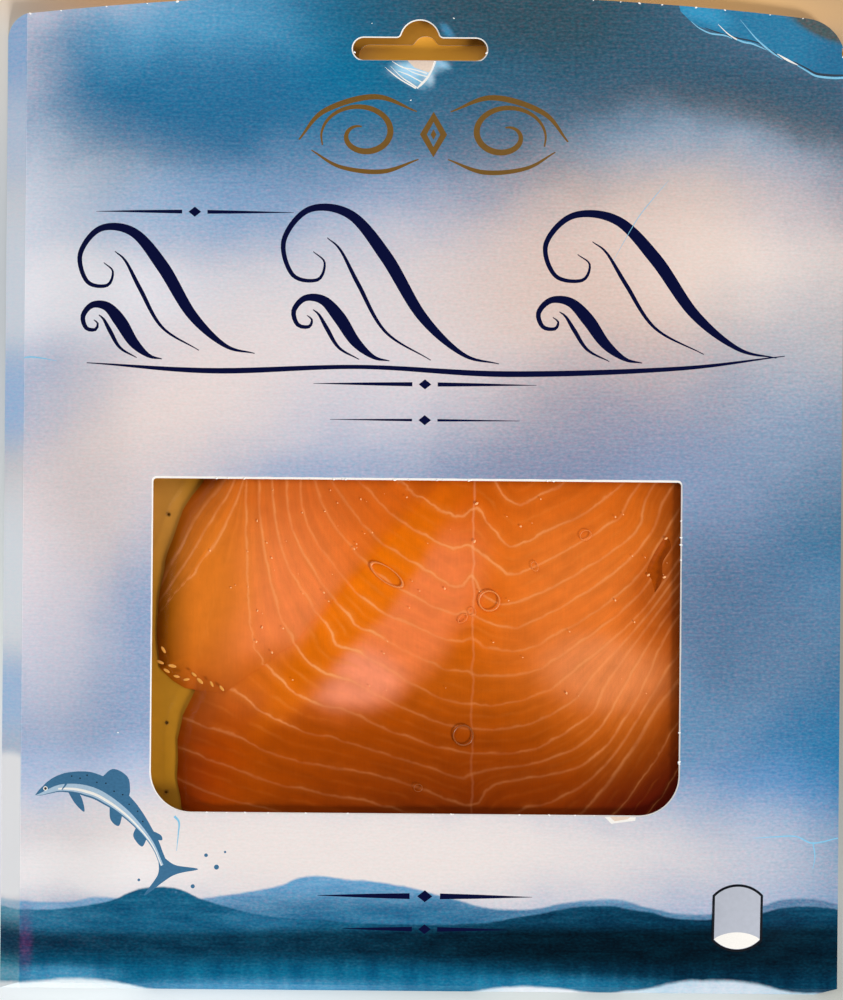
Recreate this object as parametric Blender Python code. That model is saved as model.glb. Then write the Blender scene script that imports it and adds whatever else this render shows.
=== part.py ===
"""Pack of smoked salmon: a folded card sleeve with a hang slot and a window, and inside it a
gold board that carries slices of fish under clear film.

It lies on its back with the printed side up and the slot end at +Y. The origin is under the
middle of the pack, on the surface that it lies on. Lengths below are in millimetres and are
turned to metres where a mesh is made."""

import math

import bmesh
import bpy
import numpy as np
from mathutils import Vector
from mathutils.geometry import delaunay_2d_cdt

MM = 0.001

# Sleeve: overall size, the card, and how far the folded tube leans over
WIDTH = 200.0
HEIGHT = 238.0
CARD = 0.45
LEAN = 4.9
EDGE_HEIGHT = 4.0
FOOT_RUN = 1.8
TOP_ARC_RADIUS = 863.0
LEFT_CORNER_RADIUS = 6.0
RIGHT_CORNER_RADIUS = 10.0

# Bulge of the front panel over the fish
BULGE = 4.6
BULGE_SIDE_RUN = 28.0
BULGE_FOOT_RUN = 24.0
BULGE_TOP_START = 66.0
BULGE_TOP_END = 102.0
HEADER_SHARE = 0.15

# Bent corner at the upper right: its crease as a line, and how steeply the flap falls
FLAP_START = (60.6, 115.5)
FLAP_END = (99.7, 100.1)
FLAP_SLOPE = 0.08

# Hang slot: a bar with a dome over its middle, the hole in the back panel a little off it, its dome smaller
SLOT_CENTRE = (-1.4, 105.95)
SLOT_LENGTH = 32.0
SLOT_BAR = 5.3
DOME_RADIUS = 4.6
DOME_RISE = 6.85
DOME_FILLET = 1.2
BACK_SLOT_SHIFT = (1.4, -1.2)
BACK_DOME_RADIUS = 2.9
BACK_DOME_RISE = 4.75

# Window, with rounded lower corners
WINDOW_LEFT = -63.8
WINDOW_RIGHT = 61.5
WINDOW_TOP = 3.2
WINDOW_FOOT = -75.9
WINDOW_TOP_RADIUS = 0.8
WINDOW_FOOT_RADIUS = 9.6

# Board, slices and film, stacked with a small gap between each two
GAP = 0.3
BOARD_WIDTH = 178.0
BOARD_LENGTH = 206.0
BOARD_THICK = 1.0
BOARD_CENTRE_Y = -11.0
BOARD_CORNER = 4.0
FILM_THICK = 0.3
FILM_INSET = 1.0
PILE_HEIGHT = 4.9
SLICE_EDGE = 0.6
SLICE_EDGE_RUN = 5.0
UNDER_SHARE = 0.5
FILM_LEAD = 3.5
FILM_RUN = 6.5

BOARD_LOW = CARD + GAP
BOARD_TOP = BOARD_LOW + BOARD_THICK
SLICE_LOW = BOARD_TOP + GAP
FOOT = -HEIGHT / 2
FRONT_FOOT = FOOT + FOOT_RUN
LEFT = -WIDTH / 2
RIGHT = WIDTH / 2
FRONT_LEFT = LEFT + LEAN
BACK_RIGHT = RIGHT - LEAN

# Outlines of the two slices that show, counter-clockwise. Their hidden ends are guessed.
LEFT_SLICE = [
    (-52.3, 2.8),
    (-57.0, -4.4),
    (-61.2, -16.4),
    (-62.8, -26.0),
    (-63.0, -35.5),
    (-62.2, -42.3),
    (-59.3, -45.1),
    (-56.2, -46.9),
    (-46.6, -47.8),
    (-31.0, -36.5),
    (-14.0, -18.0),
    (4.3, 3.2),
    (24.0, 30.0),
    (32.0, 52.0),
    (18.0, 64.0),
    (-16.0, 62.0),
    (-36.0, 42.0),
    (-45.0, 20.0),
]
MAIN_SLICE = [
    (-53.0, -38.0),
    (-53.8, -47.4),
    (-56.8, -53.4),
    (-57.8, -59.4),
    (-57.7, -68.9),
    (-57.1, -75.0),
    (-52.0, -88.0),
    (-40.0, -96.0),
    (0.0, -98.0),
    (50.0, -96.0),
    (68.0, -88.0),
    (76.0, -68.0),
    (78.0, -20.0),
    (75.0, 40.0),
    (64.0, 60.0),
    (38.0, 68.0),
    (0.0, 66.0),
    (-32.0, 46.0),
    (-46.0, 10.0),
    (-53.0, -14.0),
]
MAIN_SLICE_TEAR = [
    (54.6, -23.6),
    (55.9, -22.6),
    (57.0, -17.0),
    (59.0, -11.4),
    (58.0, -10.8),
    (55.8, -13.6),
    (54.2, -18.2),
]

# Facet sizes
SLEEVE_STEP = 8.5
SLICE_STEP = 8.0
FILM_FINE_STEP = 6.5
FILM_COARSE_STEP = 14.0
ROUND_STEP = 1.6


def smooth(t):
    """0 to 1 with level ends, as t goes from 0 to 1."""
    t = np.clip(t, 0.0, 1.0)
    return t * t * (3.0 - 2.0 * t)


def clear_scene():
    for obj in list(bpy.data.objects):
        bpy.data.objects.remove(obj, do_unlink=True)


def material(name, colour, roughness, metallic=0.0):
    """A plain finish. The colour is given as sRGB numbers from 0 to 255."""
    linear = [(c / 255.0) ** 2.2 for c in colour]
    made = bpy.data.materials.new(name)
    made.use_nodes = True
    made.diffuse_color = (*linear, 1.0)
    shader = made.node_tree.nodes["Principled BSDF"]
    shader.inputs["Base Color"].default_value = (*linear, 1.0)
    shader.inputs["Roughness"].default_value = roughness
    shader.inputs["Metallic"].default_value = metallic
    return made


def arc(centre, radius, start, end, step=ROUND_STEP):
    """Points on a circle from one angle to the other, in degrees."""
    turn = math.radians(end - start)
    count = max(2, math.ceil(abs(turn) * radius / step))
    angles = [math.radians(start) + turn * i / count for i in range(count + 1)]
    return [(centre[0] + radius * math.cos(a), centre[1] + radius * math.sin(a)) for a in angles]


def line(start, end, step):
    """Points from start up to, and without, end, no further apart than step."""
    count = max(1, math.ceil(math.dist(start, end) / step))
    share = [i / count for i in range(count)]
    return [tuple(a + (b - a) * s for a, b in zip(start, end)) for s in share]


def closed_line(corners, step):
    """A loop through the corners with points between them."""
    points = []
    for start, end in zip(corners, corners[1:] + corners[:1]):
        points += line(start, end, step)
    return points


def inside(points, loop):
    """Which of the points lie in the loop."""
    ends = np.roll(loop, -1, axis=0)
    found = np.zeros(len(points), bool)
    for (ax, ay), (bx, by) in zip(loop, ends):
        if ay == by:
            continue
        spans = (ay > points[:, 1]) != (by > points[:, 1])
        crossing = ax + (points[:, 1] - ay) * (bx - ax) / (by - ay)
        found ^= spans & (points[:, 0] < crossing)
    return found


def to_loop(points, loop):
    """How far each point is from the loop's nearest edge."""
    ends = np.roll(loop, -1, axis=0)
    nearest = np.full(len(points), np.inf)
    for a, b in zip(loop, ends):
        run = b - a
        share = np.clip((points - a) @ run / max(run @ run, 1e-12), 0.0, 1.0)
        away = np.hypot(*(points - a - share[:, None] * run).T)
        nearest = np.minimum(nearest, away)
    return nearest


def depth_in(points, loop):
    """Distance to the loop, above 0 inside it and below 0 outside it."""
    loop = np.array(loop, float)
    return np.where(inside(points, loop), 1.0, -1.0) * to_loop(points, loop)


def grid_points(loops, step, margin):
    """Points of a staggered grid, inside the first loop, outside the others, clear of all."""
    outer = loops[0]
    low, high = outer.min(axis=0), outer.max(axis=0)
    columns = np.arange(low[0] + step / 2, high[0], step)
    rows = np.arange(low[1] + step / 2, high[1], step * math.sqrt(3) / 2)
    spots = [(x + step / 2 * (j % 2), y) for j, y in enumerate(rows) for x in columns]
    spots = np.array(spots)
    keep = inside(spots, outer)
    for hole in loops[1:]:
        keep &= ~inside(spots, hole)
    for loop in loops:
        keep &= to_loop(spots, loop) > margin
    return spots[keep]


def plan_mesh(loops, inner):
    """Triangles that fill the first loop and leave out the others, seen from above."""
    loops = [np.array(loop, float) for loop in loops]
    points = np.concatenate([*loops, inner]) if len(inner) else np.concatenate(loops)
    edges = []
    first = 0
    for loop in loops:
        count = len(loop)
        edges += [(first + i, first + (i + 1) % count) for i in range(count)]
        first += count
    spots = [Vector(p) for p in points]
    spots, _, faces, *_ = delaunay_2d_cdt(spots, edges, [], 0, 1e-5)
    spots = np.array([tuple(p) for p in spots])
    faces = np.array(faces)
    middles = spots[faces].mean(axis=1)
    keep = inside(middles, loops[0])
    for hole in loops[1:]:
        keep &= ~inside(middles, hole)
    return spots, faces[keep]


def outward_loops(faces):
    """The directed edges that belong to one face only."""
    edges = {(a, b) for f in faces for a, b in zip(f, np.roll(f, -1))}
    return [(a, b) for a, b in edges if (b, a) not in edges]


def new_object(name, vertices, faces, finish):
    mesh = bpy.data.meshes.new(name)
    mesh.from_pydata([tuple(MM * c for c in v) for v in vertices], [], [list(map(int, f)) for f in faces])
    mesh.materials.append(finish)
    obj = bpy.data.objects.new(name, mesh)
    bpy.context.scene.collection.objects.link(obj)
    return obj


def slab(name, loops, inner, top, low, finish):
    """A closed solid over a plan, between two surfaces given as functions of the plan."""
    plan, faces = plan_mesh(loops, inner)
    count = len(plan)
    upper = np.column_stack([plan, top(plan)])
    under = np.column_stack([plan, low(plan)])
    sides = []
    for a, b in outward_loops(faces):
        sides += [(a, a + count, b + count), (a, b + count, b)]
    all_faces = [*faces, *(faces[:, ::-1] + count), *sides]
    return new_object(name, np.concatenate([upper, under]), all_faces, finish)


def top_edge(x):
    """Y of the sleeve's upper edge: a long arc with a rounded corner at each end."""
    left_from = LEFT + LEFT_CORNER_RADIUS
    right_from = RIGHT - RIGHT_CORNER_RADIUS
    level = np.clip(x, left_from, right_from)
    y = HEIGHT / 2 - TOP_ARC_RADIUS + np.sqrt(TOP_ARC_RADIUS**2 - level**2)
    past_left = np.clip(left_from - x, 0.0, LEFT_CORNER_RADIUS)
    past_right = np.clip(x - right_from, 0.0, RIGHT_CORNER_RADIUS)
    y -= LEFT_CORNER_RADIUS - np.sqrt(LEFT_CORNER_RADIUS**2 - past_left**2)
    y -= RIGHT_CORNER_RADIUS - np.sqrt(RIGHT_CORNER_RADIUS**2 - past_right**2)
    return y


def top_line(start_x, end_x):
    """Points of the upper edge between two x values, without the last, closer at the corners."""
    xs = [start_x]
    direction = math.copysign(1.0, end_x - start_x)
    while (end_x - xs[-1]) * direction > 1e-9:
        near_end = min(abs(xs[-1] - LEFT), abs(RIGHT - xs[-1])) < 13.0
        step = 2.0 if near_end else SLEEVE_STEP
        left_over = (end_x - xs[-1]) * direction
        xs.append(end_x if left_over < 1.5 * step else xs[-1] + direction * step)
    return [(x, float(top_edge(x))) for x in xs[:-1]]


def front_height(plan):
    """Outer face of the front panel: level at its creases, bulging over the fish."""
    x, y = plan[:, 0], plan[:, 1]
    from_side = np.minimum(x - FRONT_LEFT, RIGHT - x)
    across = smooth(from_side / BULGE_SIDE_RUN)
    from_foot = smooth((y - FRONT_FOOT) / BULGE_FOOT_RUN)
    from_top = smooth((BULGE_TOP_END - y) / (BULGE_TOP_END - BULGE_TOP_START))
    along = from_foot * (HEADER_SHARE + (1.0 - HEADER_SHARE) * from_top)
    height = EDGE_HEIGHT + BULGE * across * along
    run = np.subtract(FLAP_END, FLAP_START)
    outwards = np.array([-run[1], run[0]]) / np.hypot(*run)
    past_crease = (plan - np.array(FLAP_START)) @ outwards
    return height - FLAP_SLOPE * np.clip(past_crease, 0.0, None)


def right_edge_height(y):
    """Height of the crease between the front panel and the right spine."""
    plan = np.column_stack([np.full(len(y), RIGHT), y])
    return front_height(plan)


def slot_loop(shift=(0.0, 0.0), dome_radius=DOME_RADIUS, dome_rise=DOME_RISE):
    """Hang slot, counter-clockwise from the left end of the bar's lower edge."""
    cx, cy = SLOT_CENTRE[0] + shift[0], SLOT_CENTRE[1] + shift[1]
    end_radius = SLOT_BAR / 2
    end_x = SLOT_LENGTH / 2 - end_radius
    bar_top = cy + end_radius
    dome_y = cy + dome_rise - dome_radius
    fillet_y = bar_top + DOME_FILLET
    reach = dome_radius + DOME_FILLET
    fillet_x = math.sqrt(reach**2 - (fillet_y - dome_y) ** 2)
    turn = math.degrees(math.atan2(fillet_y - dome_y, fillet_x))
    points = arc((cx + end_x, cy), end_radius, -90, 90)
    points += arc((cx + fillet_x, fillet_y), DOME_FILLET, 270, 180 + turn, 0.9)
    points += arc((cx, dome_y), dome_radius, turn, 180 - turn)[1:-1]
    points += arc((cx - fillet_x, fillet_y), DOME_FILLET, -turn, -90, 0.9)
    points += arc((cx - end_x, cy), end_radius, 90, 270)
    return points


def window_loop():
    """Window, counter-clockwise from its lower left corner."""
    foot = WINDOW_FOOT_RADIUS
    top = WINDOW_TOP_RADIUS
    low_y = WINDOW_FOOT + foot
    high_y = WINDOW_TOP - top
    left_arc = arc((WINDOW_LEFT + foot, low_y), foot, 180, 270, 3.0)
    right_arc = arc((WINDOW_RIGHT - foot, low_y), foot, 270, 360, 3.0)
    right_top = arc((WINDOW_RIGHT - top, high_y), top, 0, 90, 1.3)
    left_top = arc((WINDOW_LEFT + top, high_y), top, 90, 180, 1.3)
    points = left_arc[:-1] + line(left_arc[-1], right_arc[0], SLEEVE_STEP) + right_arc[:-1]
    points += line(right_arc[-1], right_top[0], SLEEVE_STEP) + right_top[:-1]
    points += line(right_top[-1], left_top[0], SLEEVE_STEP) + left_top[:-1]
    return points + line(left_top[-1], left_arc[0], SLEEVE_STEP)


def sleeve_panels():
    """Front, two spines, foot and back as plans, each with its height and which way it faces.
    Neighbours take the same points along the crease between them."""
    front_low_left = (FRONT_LEFT, FRONT_FOOT)
    front_low_right = (RIGHT, FRONT_FOOT)
    back_low_left = (LEFT, FOOT)
    back_low_right = (BACK_RIGHT, FOOT)
    front_top_left = (FRONT_LEFT, float(top_edge(FRONT_LEFT)))
    front_top_right = (RIGHT, float(top_edge(RIGHT)))
    back_top_left = (LEFT, float(top_edge(LEFT)))
    back_top_right = (BACK_RIGHT, float(top_edge(BACK_RIGHT)))

    def crease(start, end):
        return line(start, end, SLEEVE_STEP)

    def turned(points, end):
        """The same points the other way round, again without the last."""
        return ([*points, end])[:0:-1]

    left_up = crease(front_low_left, front_top_left)
    right_up = crease(front_low_right, front_top_right)
    front_low = crease(front_low_left, front_low_right)
    back_left_up = crease(back_low_left, back_top_left)
    back_right_up = crease(back_low_right, back_top_right)
    back_low = crease(back_low_left, back_low_right)

    front = front_low + right_up + top_line(RIGHT, FRONT_LEFT)
    front += turned(left_up, front_top_left)
    back = back_low + back_right_up + top_line(BACK_RIGHT, LEFT)
    back += turned(back_left_up, back_top_left)
    left_spine = [back_low_left] + left_up + top_line(FRONT_LEFT, LEFT)
    left_spine += turned(back_left_up, back_top_left)
    right_spine = [back_low_right] + right_up + top_line(RIGHT, BACK_RIGHT)
    right_spine += turned(back_right_up, back_top_right)
    foot = back_low + [back_low_right] + turned(front_low, front_low_right) + [front_low_left]

    def left_height(p):
        return EDGE_HEIGHT * (p[:, 0] - LEFT) / LEAN

    def right_height(p):
        return right_edge_height(p[:, 1]) * (p[:, 0] - BACK_RIGHT) / LEAN

    def foot_height(p):
        return EDGE_HEIGHT * (p[:, 1] - FOOT) / FOOT_RUN

    def back_height(p):
        return np.zeros(len(p))

    return [
        ([front, window_loop(), slot_loop()], front_height, True),
        ([left_spine], left_height, True),
        ([foot], foot_height, True),
        ([right_spine], right_height, False),
        ([back, slot_loop(BACK_SLOT_SHIFT, BACK_DOME_RADIUS, BACK_DOME_RISE)], back_height, False),
    ]


def make_sleeve():
    """The folded card: its outer faces joined at the creases, then given the card's thickness."""
    points, faces = [], []
    for number, (loops, height, faces_up) in enumerate(sleeve_panels()):
        loops = [np.array(loop, float) for loop in loops]
        bulges = number == 0
        inner = grid_points(loops, SLEEVE_STEP, SLEEVE_STEP * 0.45) if bulges else []
        plan, made = plan_mesh(loops, inner)
        made = made if faces_up else made[:, ::-1]
        faces += list(made + sum(len(p) for p in points))
        points.append(np.column_stack([plan, height(plan)]))
    finish = material("printed card", (150, 165, 195), 0.5)
    sleeve = new_object("sleeve", np.concatenate(points), faces, finish)
    bm = bmesh.new()
    bm.from_mesh(sleeve.data)
    bmesh.ops.remove_doubles(bm, verts=bm.verts, dist=0.01 * MM)
    bm.to_mesh(sleeve.data)
    bm.free()
    wall = sleeve.modifiers.new("card", "SOLIDIFY")
    wall.thickness = CARD * MM
    wall.offset = -1.0
    wall.use_even_offset = True
    wall.use_quality_normals = True


def board_loop(inset=0.0):
    half_x = BOARD_WIDTH / 2 - inset
    half_y = BOARD_LENGTH / 2 - inset
    reach_x, reach_y = half_x - BOARD_CORNER, half_y - BOARD_CORNER
    points = []
    for turn, sx, sy in ((0, 1, 1), (90, -1, 1), (180, -1, -1), (270, 1, -1)):
        centre = (sx * reach_x, BOARD_CENTRE_Y + sy * reach_y)
        points += arc(centre, BOARD_CORNER, turn, turn + 90, 3.0)
    return points


def make_board():
    finish = material("gold board", (157, 100, 30), 0.45, 0.3)

    def top(p):
        return np.full(len(p), BOARD_TOP)

    def low(p):
        return np.full(len(p), BOARD_LOW)

    slab("gold_board", [board_loop()], [], top, low, finish)


def ripple(p):
    """Slight waves of cut fish, in millimetres."""
    return 0.12 * np.sin(p[:, 0] / 7.0 + p[:, 1] / 13.0) * np.cos(p[:, 1] / 8.0)


def main_slice_top(p):
    """The lower slice: full height where it shows, thinner under the left slice."""
    rim = smooth(depth_in(p, MAIN_SLICE) / SLICE_EDGE_RUN)
    covered = smooth((depth_in(p, LEFT_SLICE) + 4.0) / 9.0)
    full = PILE_HEIGHT - 0.35 - (1.0 - UNDER_SHARE) * PILE_HEIGHT * covered
    return SLICE_LOW + SLICE_EDGE + (full - SLICE_EDGE + ripple(p)) * rim


def left_slice_low(p):
    """Its underside rests on the board, and on the main slice where that lies below it."""
    over_main = smooth((depth_in(p, MAIN_SLICE) + 4.0) / 4.0)
    rise = main_slice_top(p) + GAP + 0.25 - SLICE_LOW
    return SLICE_LOW + rise * over_main


def left_slice_top(p):
    rim = smooth(depth_in(p, LEFT_SLICE) / SLICE_EDGE_RUN)
    low = left_slice_low(p)
    full = SLICE_LOW + PILE_HEIGHT - 0.12 + ripple(p)
    return low + SLICE_EDGE + np.maximum(full - low - SLICE_EDGE, 0.2) * rim


def make_slices():
    flesh = material("smoked salmon", (215, 105, 45), 0.35)
    main = [np.array(closed_line(MAIN_SLICE, SLICE_STEP)), np.array(MAIN_SLICE_TEAR)]
    inner = grid_points(main, SLICE_STEP, SLICE_STEP * 0.4)

    def main_low(p):
        return np.full(len(p), SLICE_LOW)

    slab("main_slice", main, inner, main_slice_top, main_low, flesh)
    left = [np.array(closed_line(LEFT_SLICE, SLICE_STEP * 0.7))]
    inner = grid_points(left, SLICE_STEP * 0.8, SLICE_STEP * 0.35)
    slab("left_slice", left, inner, left_slice_top, left_slice_low, flesh)


def film_low(p):
    """Film drawn down over the pile: it leads the slices' edges by a few millimetres."""
    depth = np.maximum(depth_in(p, LEFT_SLICE), depth_in(p, MAIN_SLICE))
    return SLICE_LOW + (PILE_HEIGHT + GAP) * smooth((depth + FILM_LEAD) / FILM_RUN)


def make_film():
    clear = material("clear film", (225, 225, 225), 0.1)
    loop = np.array(closed_line(board_loop(FILM_INSET), FILM_COARSE_STEP))
    fine = grid_points([loop], FILM_FINE_STEP, FILM_FINE_STEP * 0.4)
    coarse = grid_points([loop], FILM_COARSE_STEP, FILM_COARSE_STEP * 0.4)

    def near_edge(p):
        depth = np.maximum(depth_in(p, LEFT_SLICE), depth_in(p, MAIN_SLICE))
        return (depth > -FILM_LEAD - FILM_FINE_STEP) & (depth < FILM_RUN + FILM_FINE_STEP)

    inner = np.concatenate([fine[near_edge(fine)], coarse[~near_edge(coarse)]])

    def top(p):
        return film_low(p) + FILM_THICK

    slab("film", [loop], inner, top, film_low, clear)


def main():
    clear_scene()
    make_sleeve()
    make_board()
    make_slices()
    make_film()


main()
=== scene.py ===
"""Looks of the pack of smoked salmon: a printed card sleeve with a hang slot and a window, and in
it a gold board with two slices of fish under clear film.

Lengths are in millimetres until a mesh is made. X runs to the right of the face, Y to the slot."""

import math

import bmesh
import bpy
import numpy as np
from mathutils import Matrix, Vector
from mathutils.geometry import delaunay_2d_cdt


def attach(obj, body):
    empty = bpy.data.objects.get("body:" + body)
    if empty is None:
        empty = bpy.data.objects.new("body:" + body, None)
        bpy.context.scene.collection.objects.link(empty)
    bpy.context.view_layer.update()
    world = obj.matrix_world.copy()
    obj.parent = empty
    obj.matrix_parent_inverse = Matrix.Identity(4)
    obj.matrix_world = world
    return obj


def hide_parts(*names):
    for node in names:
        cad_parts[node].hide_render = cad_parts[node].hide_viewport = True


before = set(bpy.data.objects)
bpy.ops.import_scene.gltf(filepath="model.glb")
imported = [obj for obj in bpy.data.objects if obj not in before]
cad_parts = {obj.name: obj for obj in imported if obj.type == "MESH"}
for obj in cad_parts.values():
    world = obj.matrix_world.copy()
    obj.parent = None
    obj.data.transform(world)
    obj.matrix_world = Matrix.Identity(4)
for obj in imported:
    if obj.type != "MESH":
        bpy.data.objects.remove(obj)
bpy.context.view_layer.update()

MM = 0.001

# Sizes of the part, as in its CAD
WIDTH, HEIGHT, CARD, LEAN, EDGE_HEIGHT, FOOT_RUN = 200.0, 238.0, 0.45, 4.9, 4.0, 1.8
TOP_ARC_RADIUS, LEFT_CORNER_RADIUS, RIGHT_CORNER_RADIUS = 863.0, 6.0, 10.0
BULGE, BULGE_SIDE_RUN, BULGE_FOOT_RUN = 4.6, 28.0, 24.0
BULGE_TOP_START, BULGE_TOP_END, HEADER_SHARE = 66.0, 102.0, 0.15
FLAP_START, FLAP_END, FLAP_SLOPE = (60.6, 115.5), (99.7, 100.1), 0.08
SLOT_CENTRE, SLOT_LENGTH, SLOT_BAR = (-1.4, 105.95), 32.0, 5.3
DOME_RADIUS, DOME_RISE, DOME_FILLET = 4.6, 6.85, 1.2
BACK_SLOT_SHIFT, BACK_DOME_RADIUS, BACK_DOME_RISE = (1.4, -1.2), 2.9, 4.75
WINDOW_LEFT, WINDOW_RIGHT, WINDOW_TOP, WINDOW_FOOT = -63.8, 61.5, 3.2, -75.9
WINDOW_TOP_RADIUS, WINDOW_FOOT_RADIUS = 0.8, 9.6
GAP, BOARD_THICK, PILE_HEIGHT = 0.3, 1.0, 4.9
BOARD_WIDTH, BOARD_LENGTH, BOARD_CENTRE_Y, BOARD_CORNER = 178.0, 206.0, -11.0, 4.0
FILM_THICK, FILM_INSET, FILM_LEAD, FILM_RUN = 0.3, 1.0, 3.5, 6.5
SLICE_EDGE, SLICE_EDGE_RUN, UNDER_SHARE = 0.6, 5.0, 0.5
BOARD_LOW = CARD + GAP
BOARD_TOP = BOARD_LOW + BOARD_THICK
SLICE_LOW = BOARD_TOP + GAP
FOOT = -HEIGHT / 2
FRONT_FOOT = FOOT + FOOT_RUN
LEFT, RIGHT = -WIDTH / 2, WIDTH / 2
FRONT_LEFT, BACK_RIGHT = LEFT + LEAN, RIGHT - LEAN
LEFT_SLICE = [
    (-52.3, 2.8), (-57.0, -4.4), (-61.2, -16.4), (-62.8, -26.0), (-63.0, -35.5), (-62.2, -42.3),
    (-59.3, -45.1), (-56.2, -46.9), (-46.6, -47.8), (-31.0, -36.5), (-14.0, -18.0), (4.3, 3.2),
    (24.0, 30.0), (32.0, 52.0), (18.0, 64.0), (-16.0, 62.0), (-36.0, 42.0), (-45.0, 20.0),
]
MAIN_SLICE = [
    (-53.0, -38.0), (-53.8, -47.4), (-56.8, -53.4), (-57.8, -59.4), (-57.7, -68.9), (-57.1, -75.0),
    (-52.0, -88.0), (-40.0, -96.0), (0.0, -98.0), (50.0, -96.0), (68.0, -88.0), (76.0, -68.0),
    (78.0, -20.0), (75.0, 40.0), (64.0, 60.0), (38.0, 68.0), (0.0, 66.0), (-32.0, 46.0),
    (-46.0, 10.0), (-53.0, -14.0),
]
MAIN_SLICE_TEAR = [
    (55.6, -23.0), (57.2, -20.1), (57.4, -15.9), (59.3, -12.2), (58.1, -9.8), (55.7, -13.1),
    (53.7, -17.6), (54.8, -20.0),
]

# How fine the shown meshes are
SLEEVE_STEP = 2.5
CORNER_POINTS = 12
FLESH_STEP = 0.55
FILM_STEP = 1.3
COARSE_STEP = 6.0
# The card's bare rims: how far the print ends before the window at its sides, top and foot, and
# before the slot, how deep the die pressed them and over what width
WINDOW_BARE, WINDOW_RAGGED, SLOT_BARE = (0.32, 0.5, 0.26), 0.05, 0.28
RIM_DIP, RIM_DIP_RUN = 0.2, 0.25
# The front is a little wavy: how high, how long the waves, and how far in they start
CARD_WAVE, CARD_WAVE_SIZE, CARD_WAVE_RUN = 0.05, 45.0, 12.0
CREASE_ANGLE = 25.0
MERGE_UNDER = 0.005
# How far in from its edge a slice reaches its full height, and how fast it rises
EDGE_RUN, EDGE_POWER, THIN_EDGE = 10.0, 2.2, 0.3
# The main slice sinks under the left one from this far before its edge, over this length
COVER_LEAD, COVER_RUN = 0.5, 9.0
DRAPE_LEAD, DRAPE_RUN, DRAPE_SINK = 3.0, 3.5, 0.1
# How far the two slices stay below the height of the pile, which their ripples may pass
MAIN_UNDER, LEFT_UNDER, LEFT_EDGE, LEFT_LEAST = 0.35, 0.12, 0.2, 0.15
OUTLINE_WAVE = 0.35
TEAR_DEPTH, TEAR_RIM, TEAR_STEP = 0.7, 0.15, 0.5
FILM_MIDDLE, PUCKER, PUCKER_SIZE, PUCKER_RUN = 0.15, 0.05, 9.0, 3.0
# The gap between fat lines that is taken past the first and the last of them
OUTER_GAP = 6.0
# Row of pinholes in the board
PIN_ROW_X, PIN_ROW_FIRST, PIN_STEP, PIN_RADIUS = -60.5, 44.4, 16.6, 0.36
# How many beads of fat and brine show under the film, and how far under it small things lie
BEADS, BEAD_SINK, BUBBLE_SINK = 70, 0.3, 0.35
# Tube radius of the thin rims, and the seed of the small things' sizes
RIM_RADIUS, SIZE_SEED = 0.09, 7

# Where the card's materials stand in its list
(PRINT, CORE, GOLD, NAVY, BLACK, GREY, STEEL, PALE_BLUE, BENT_LIT_AND_SHADED, TORN, RUBBED, SHADED, INNER_SIDE) = range(13)

# White fat lines of the fish, nested like bowls, from the upper right down to the lower left.
# These are the ones that set their form; those with a number left out lie midway between two.
FAT_LINES = {
    0: [(12, 8), (16, 5), (22, -2), (34, 3), (42, 8), (52, 13)],
    1: [(-20, 15), (-5, 2), (8, -5.5), (13, -3.5), (21, -12), (31, -8), (42, -2), (52, 7), (62, 16)],
    3: [(-28, 15), (-21, 2), (-12, -9.5), (-4, -15), (8, -22), (12, -19.5), (15, -24), (21, -26), (33, -21),
        (47, -12), (52, -7), (54, 1), (64, 13)],
    5: [(-29, 15), (-28, -5), (-20, -18), (-13, -25.5), (-5, -30), (8, -35), (12, -34), (15, -36),
        (21, -37), (27, -36), (43, -26.5), (53, -17), (65, 4)],
    7: [(-36, 15), (-35, -5), (-31, -18.5), (-22, -32), (-20, -36), (-14, -38), (-5, -43.5), (4, -48),
        (12, -50), (21, -49.5), (30, -46.5), (35, -43), (52, -28), (66, -8)],
    9: [(-42, 15), (-41.5, -15), (-40, -34), (-35, -43), (-26, -49.5), (-18, -51.5), (-8, -56),
        (4, -60), (12, -61.5), (25, -61), (32, -58), (41, -51.5), (46, -42), (66.5, -14)],
    11: [(-67, -51), (-45, -57.5), (-32, -63), (-6, -68), (12, -74), (18, -69), (39, -64), (50, -51),
         (59, -32), (66.5, -22)],
    13: [(-67, -65), (-43, -73.5), (-4, -82), (12, -86.5), (29, -80.5), (38, -76), (48, -64), (58, -48),
         (67, -38)],
}
# In the left slice the outermost ones fan out to its left edge instead
LEFT_FAN = {
    10: [(-40, 15), (-43, 1), (-48, -10), (-54, -19), (-61, -27), (-67, -36), (-69, -50), (-60, -130),
         (130, -130), (130, 15)],
    12: [(-44, 15), (-47, 3), (-53, -5), (-60, -18), (-67, -30), (-90, -60), (-90, -140), (140, -140),
         (140, 15)],
}
# The skin between the left and right muscles
SEAM_X, SEAM_SWING = 12.4, 0.8


# Shared geometry


def smooth(t):
    t = np.clip(t, 0.0, 1.0)
    return t * t * (3.0 - 2.0 * t)


def arc(centre, radius, start, end, step=1.0):
    turn = math.radians(end - start)
    count = max(3, math.ceil(abs(turn) * radius / step))
    angles = [math.radians(start) + turn * i / count for i in range(count + 1)]
    return [(centre[0] + radius * math.cos(a), centre[1] + radius * math.sin(a)) for a in angles]


def line(start, end, step):
    """Points from start up to, and without, end."""
    count = max(1, math.ceil(math.dist(start, end) / step))
    return [tuple(a + (b - a) * i / count for a, b in zip(start, end)) for i in range(count)]


def closed_line(corners, step):
    return [p for a, b in zip(corners, corners[1:] + corners[:1]) for p in line(a, b, step)]


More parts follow.
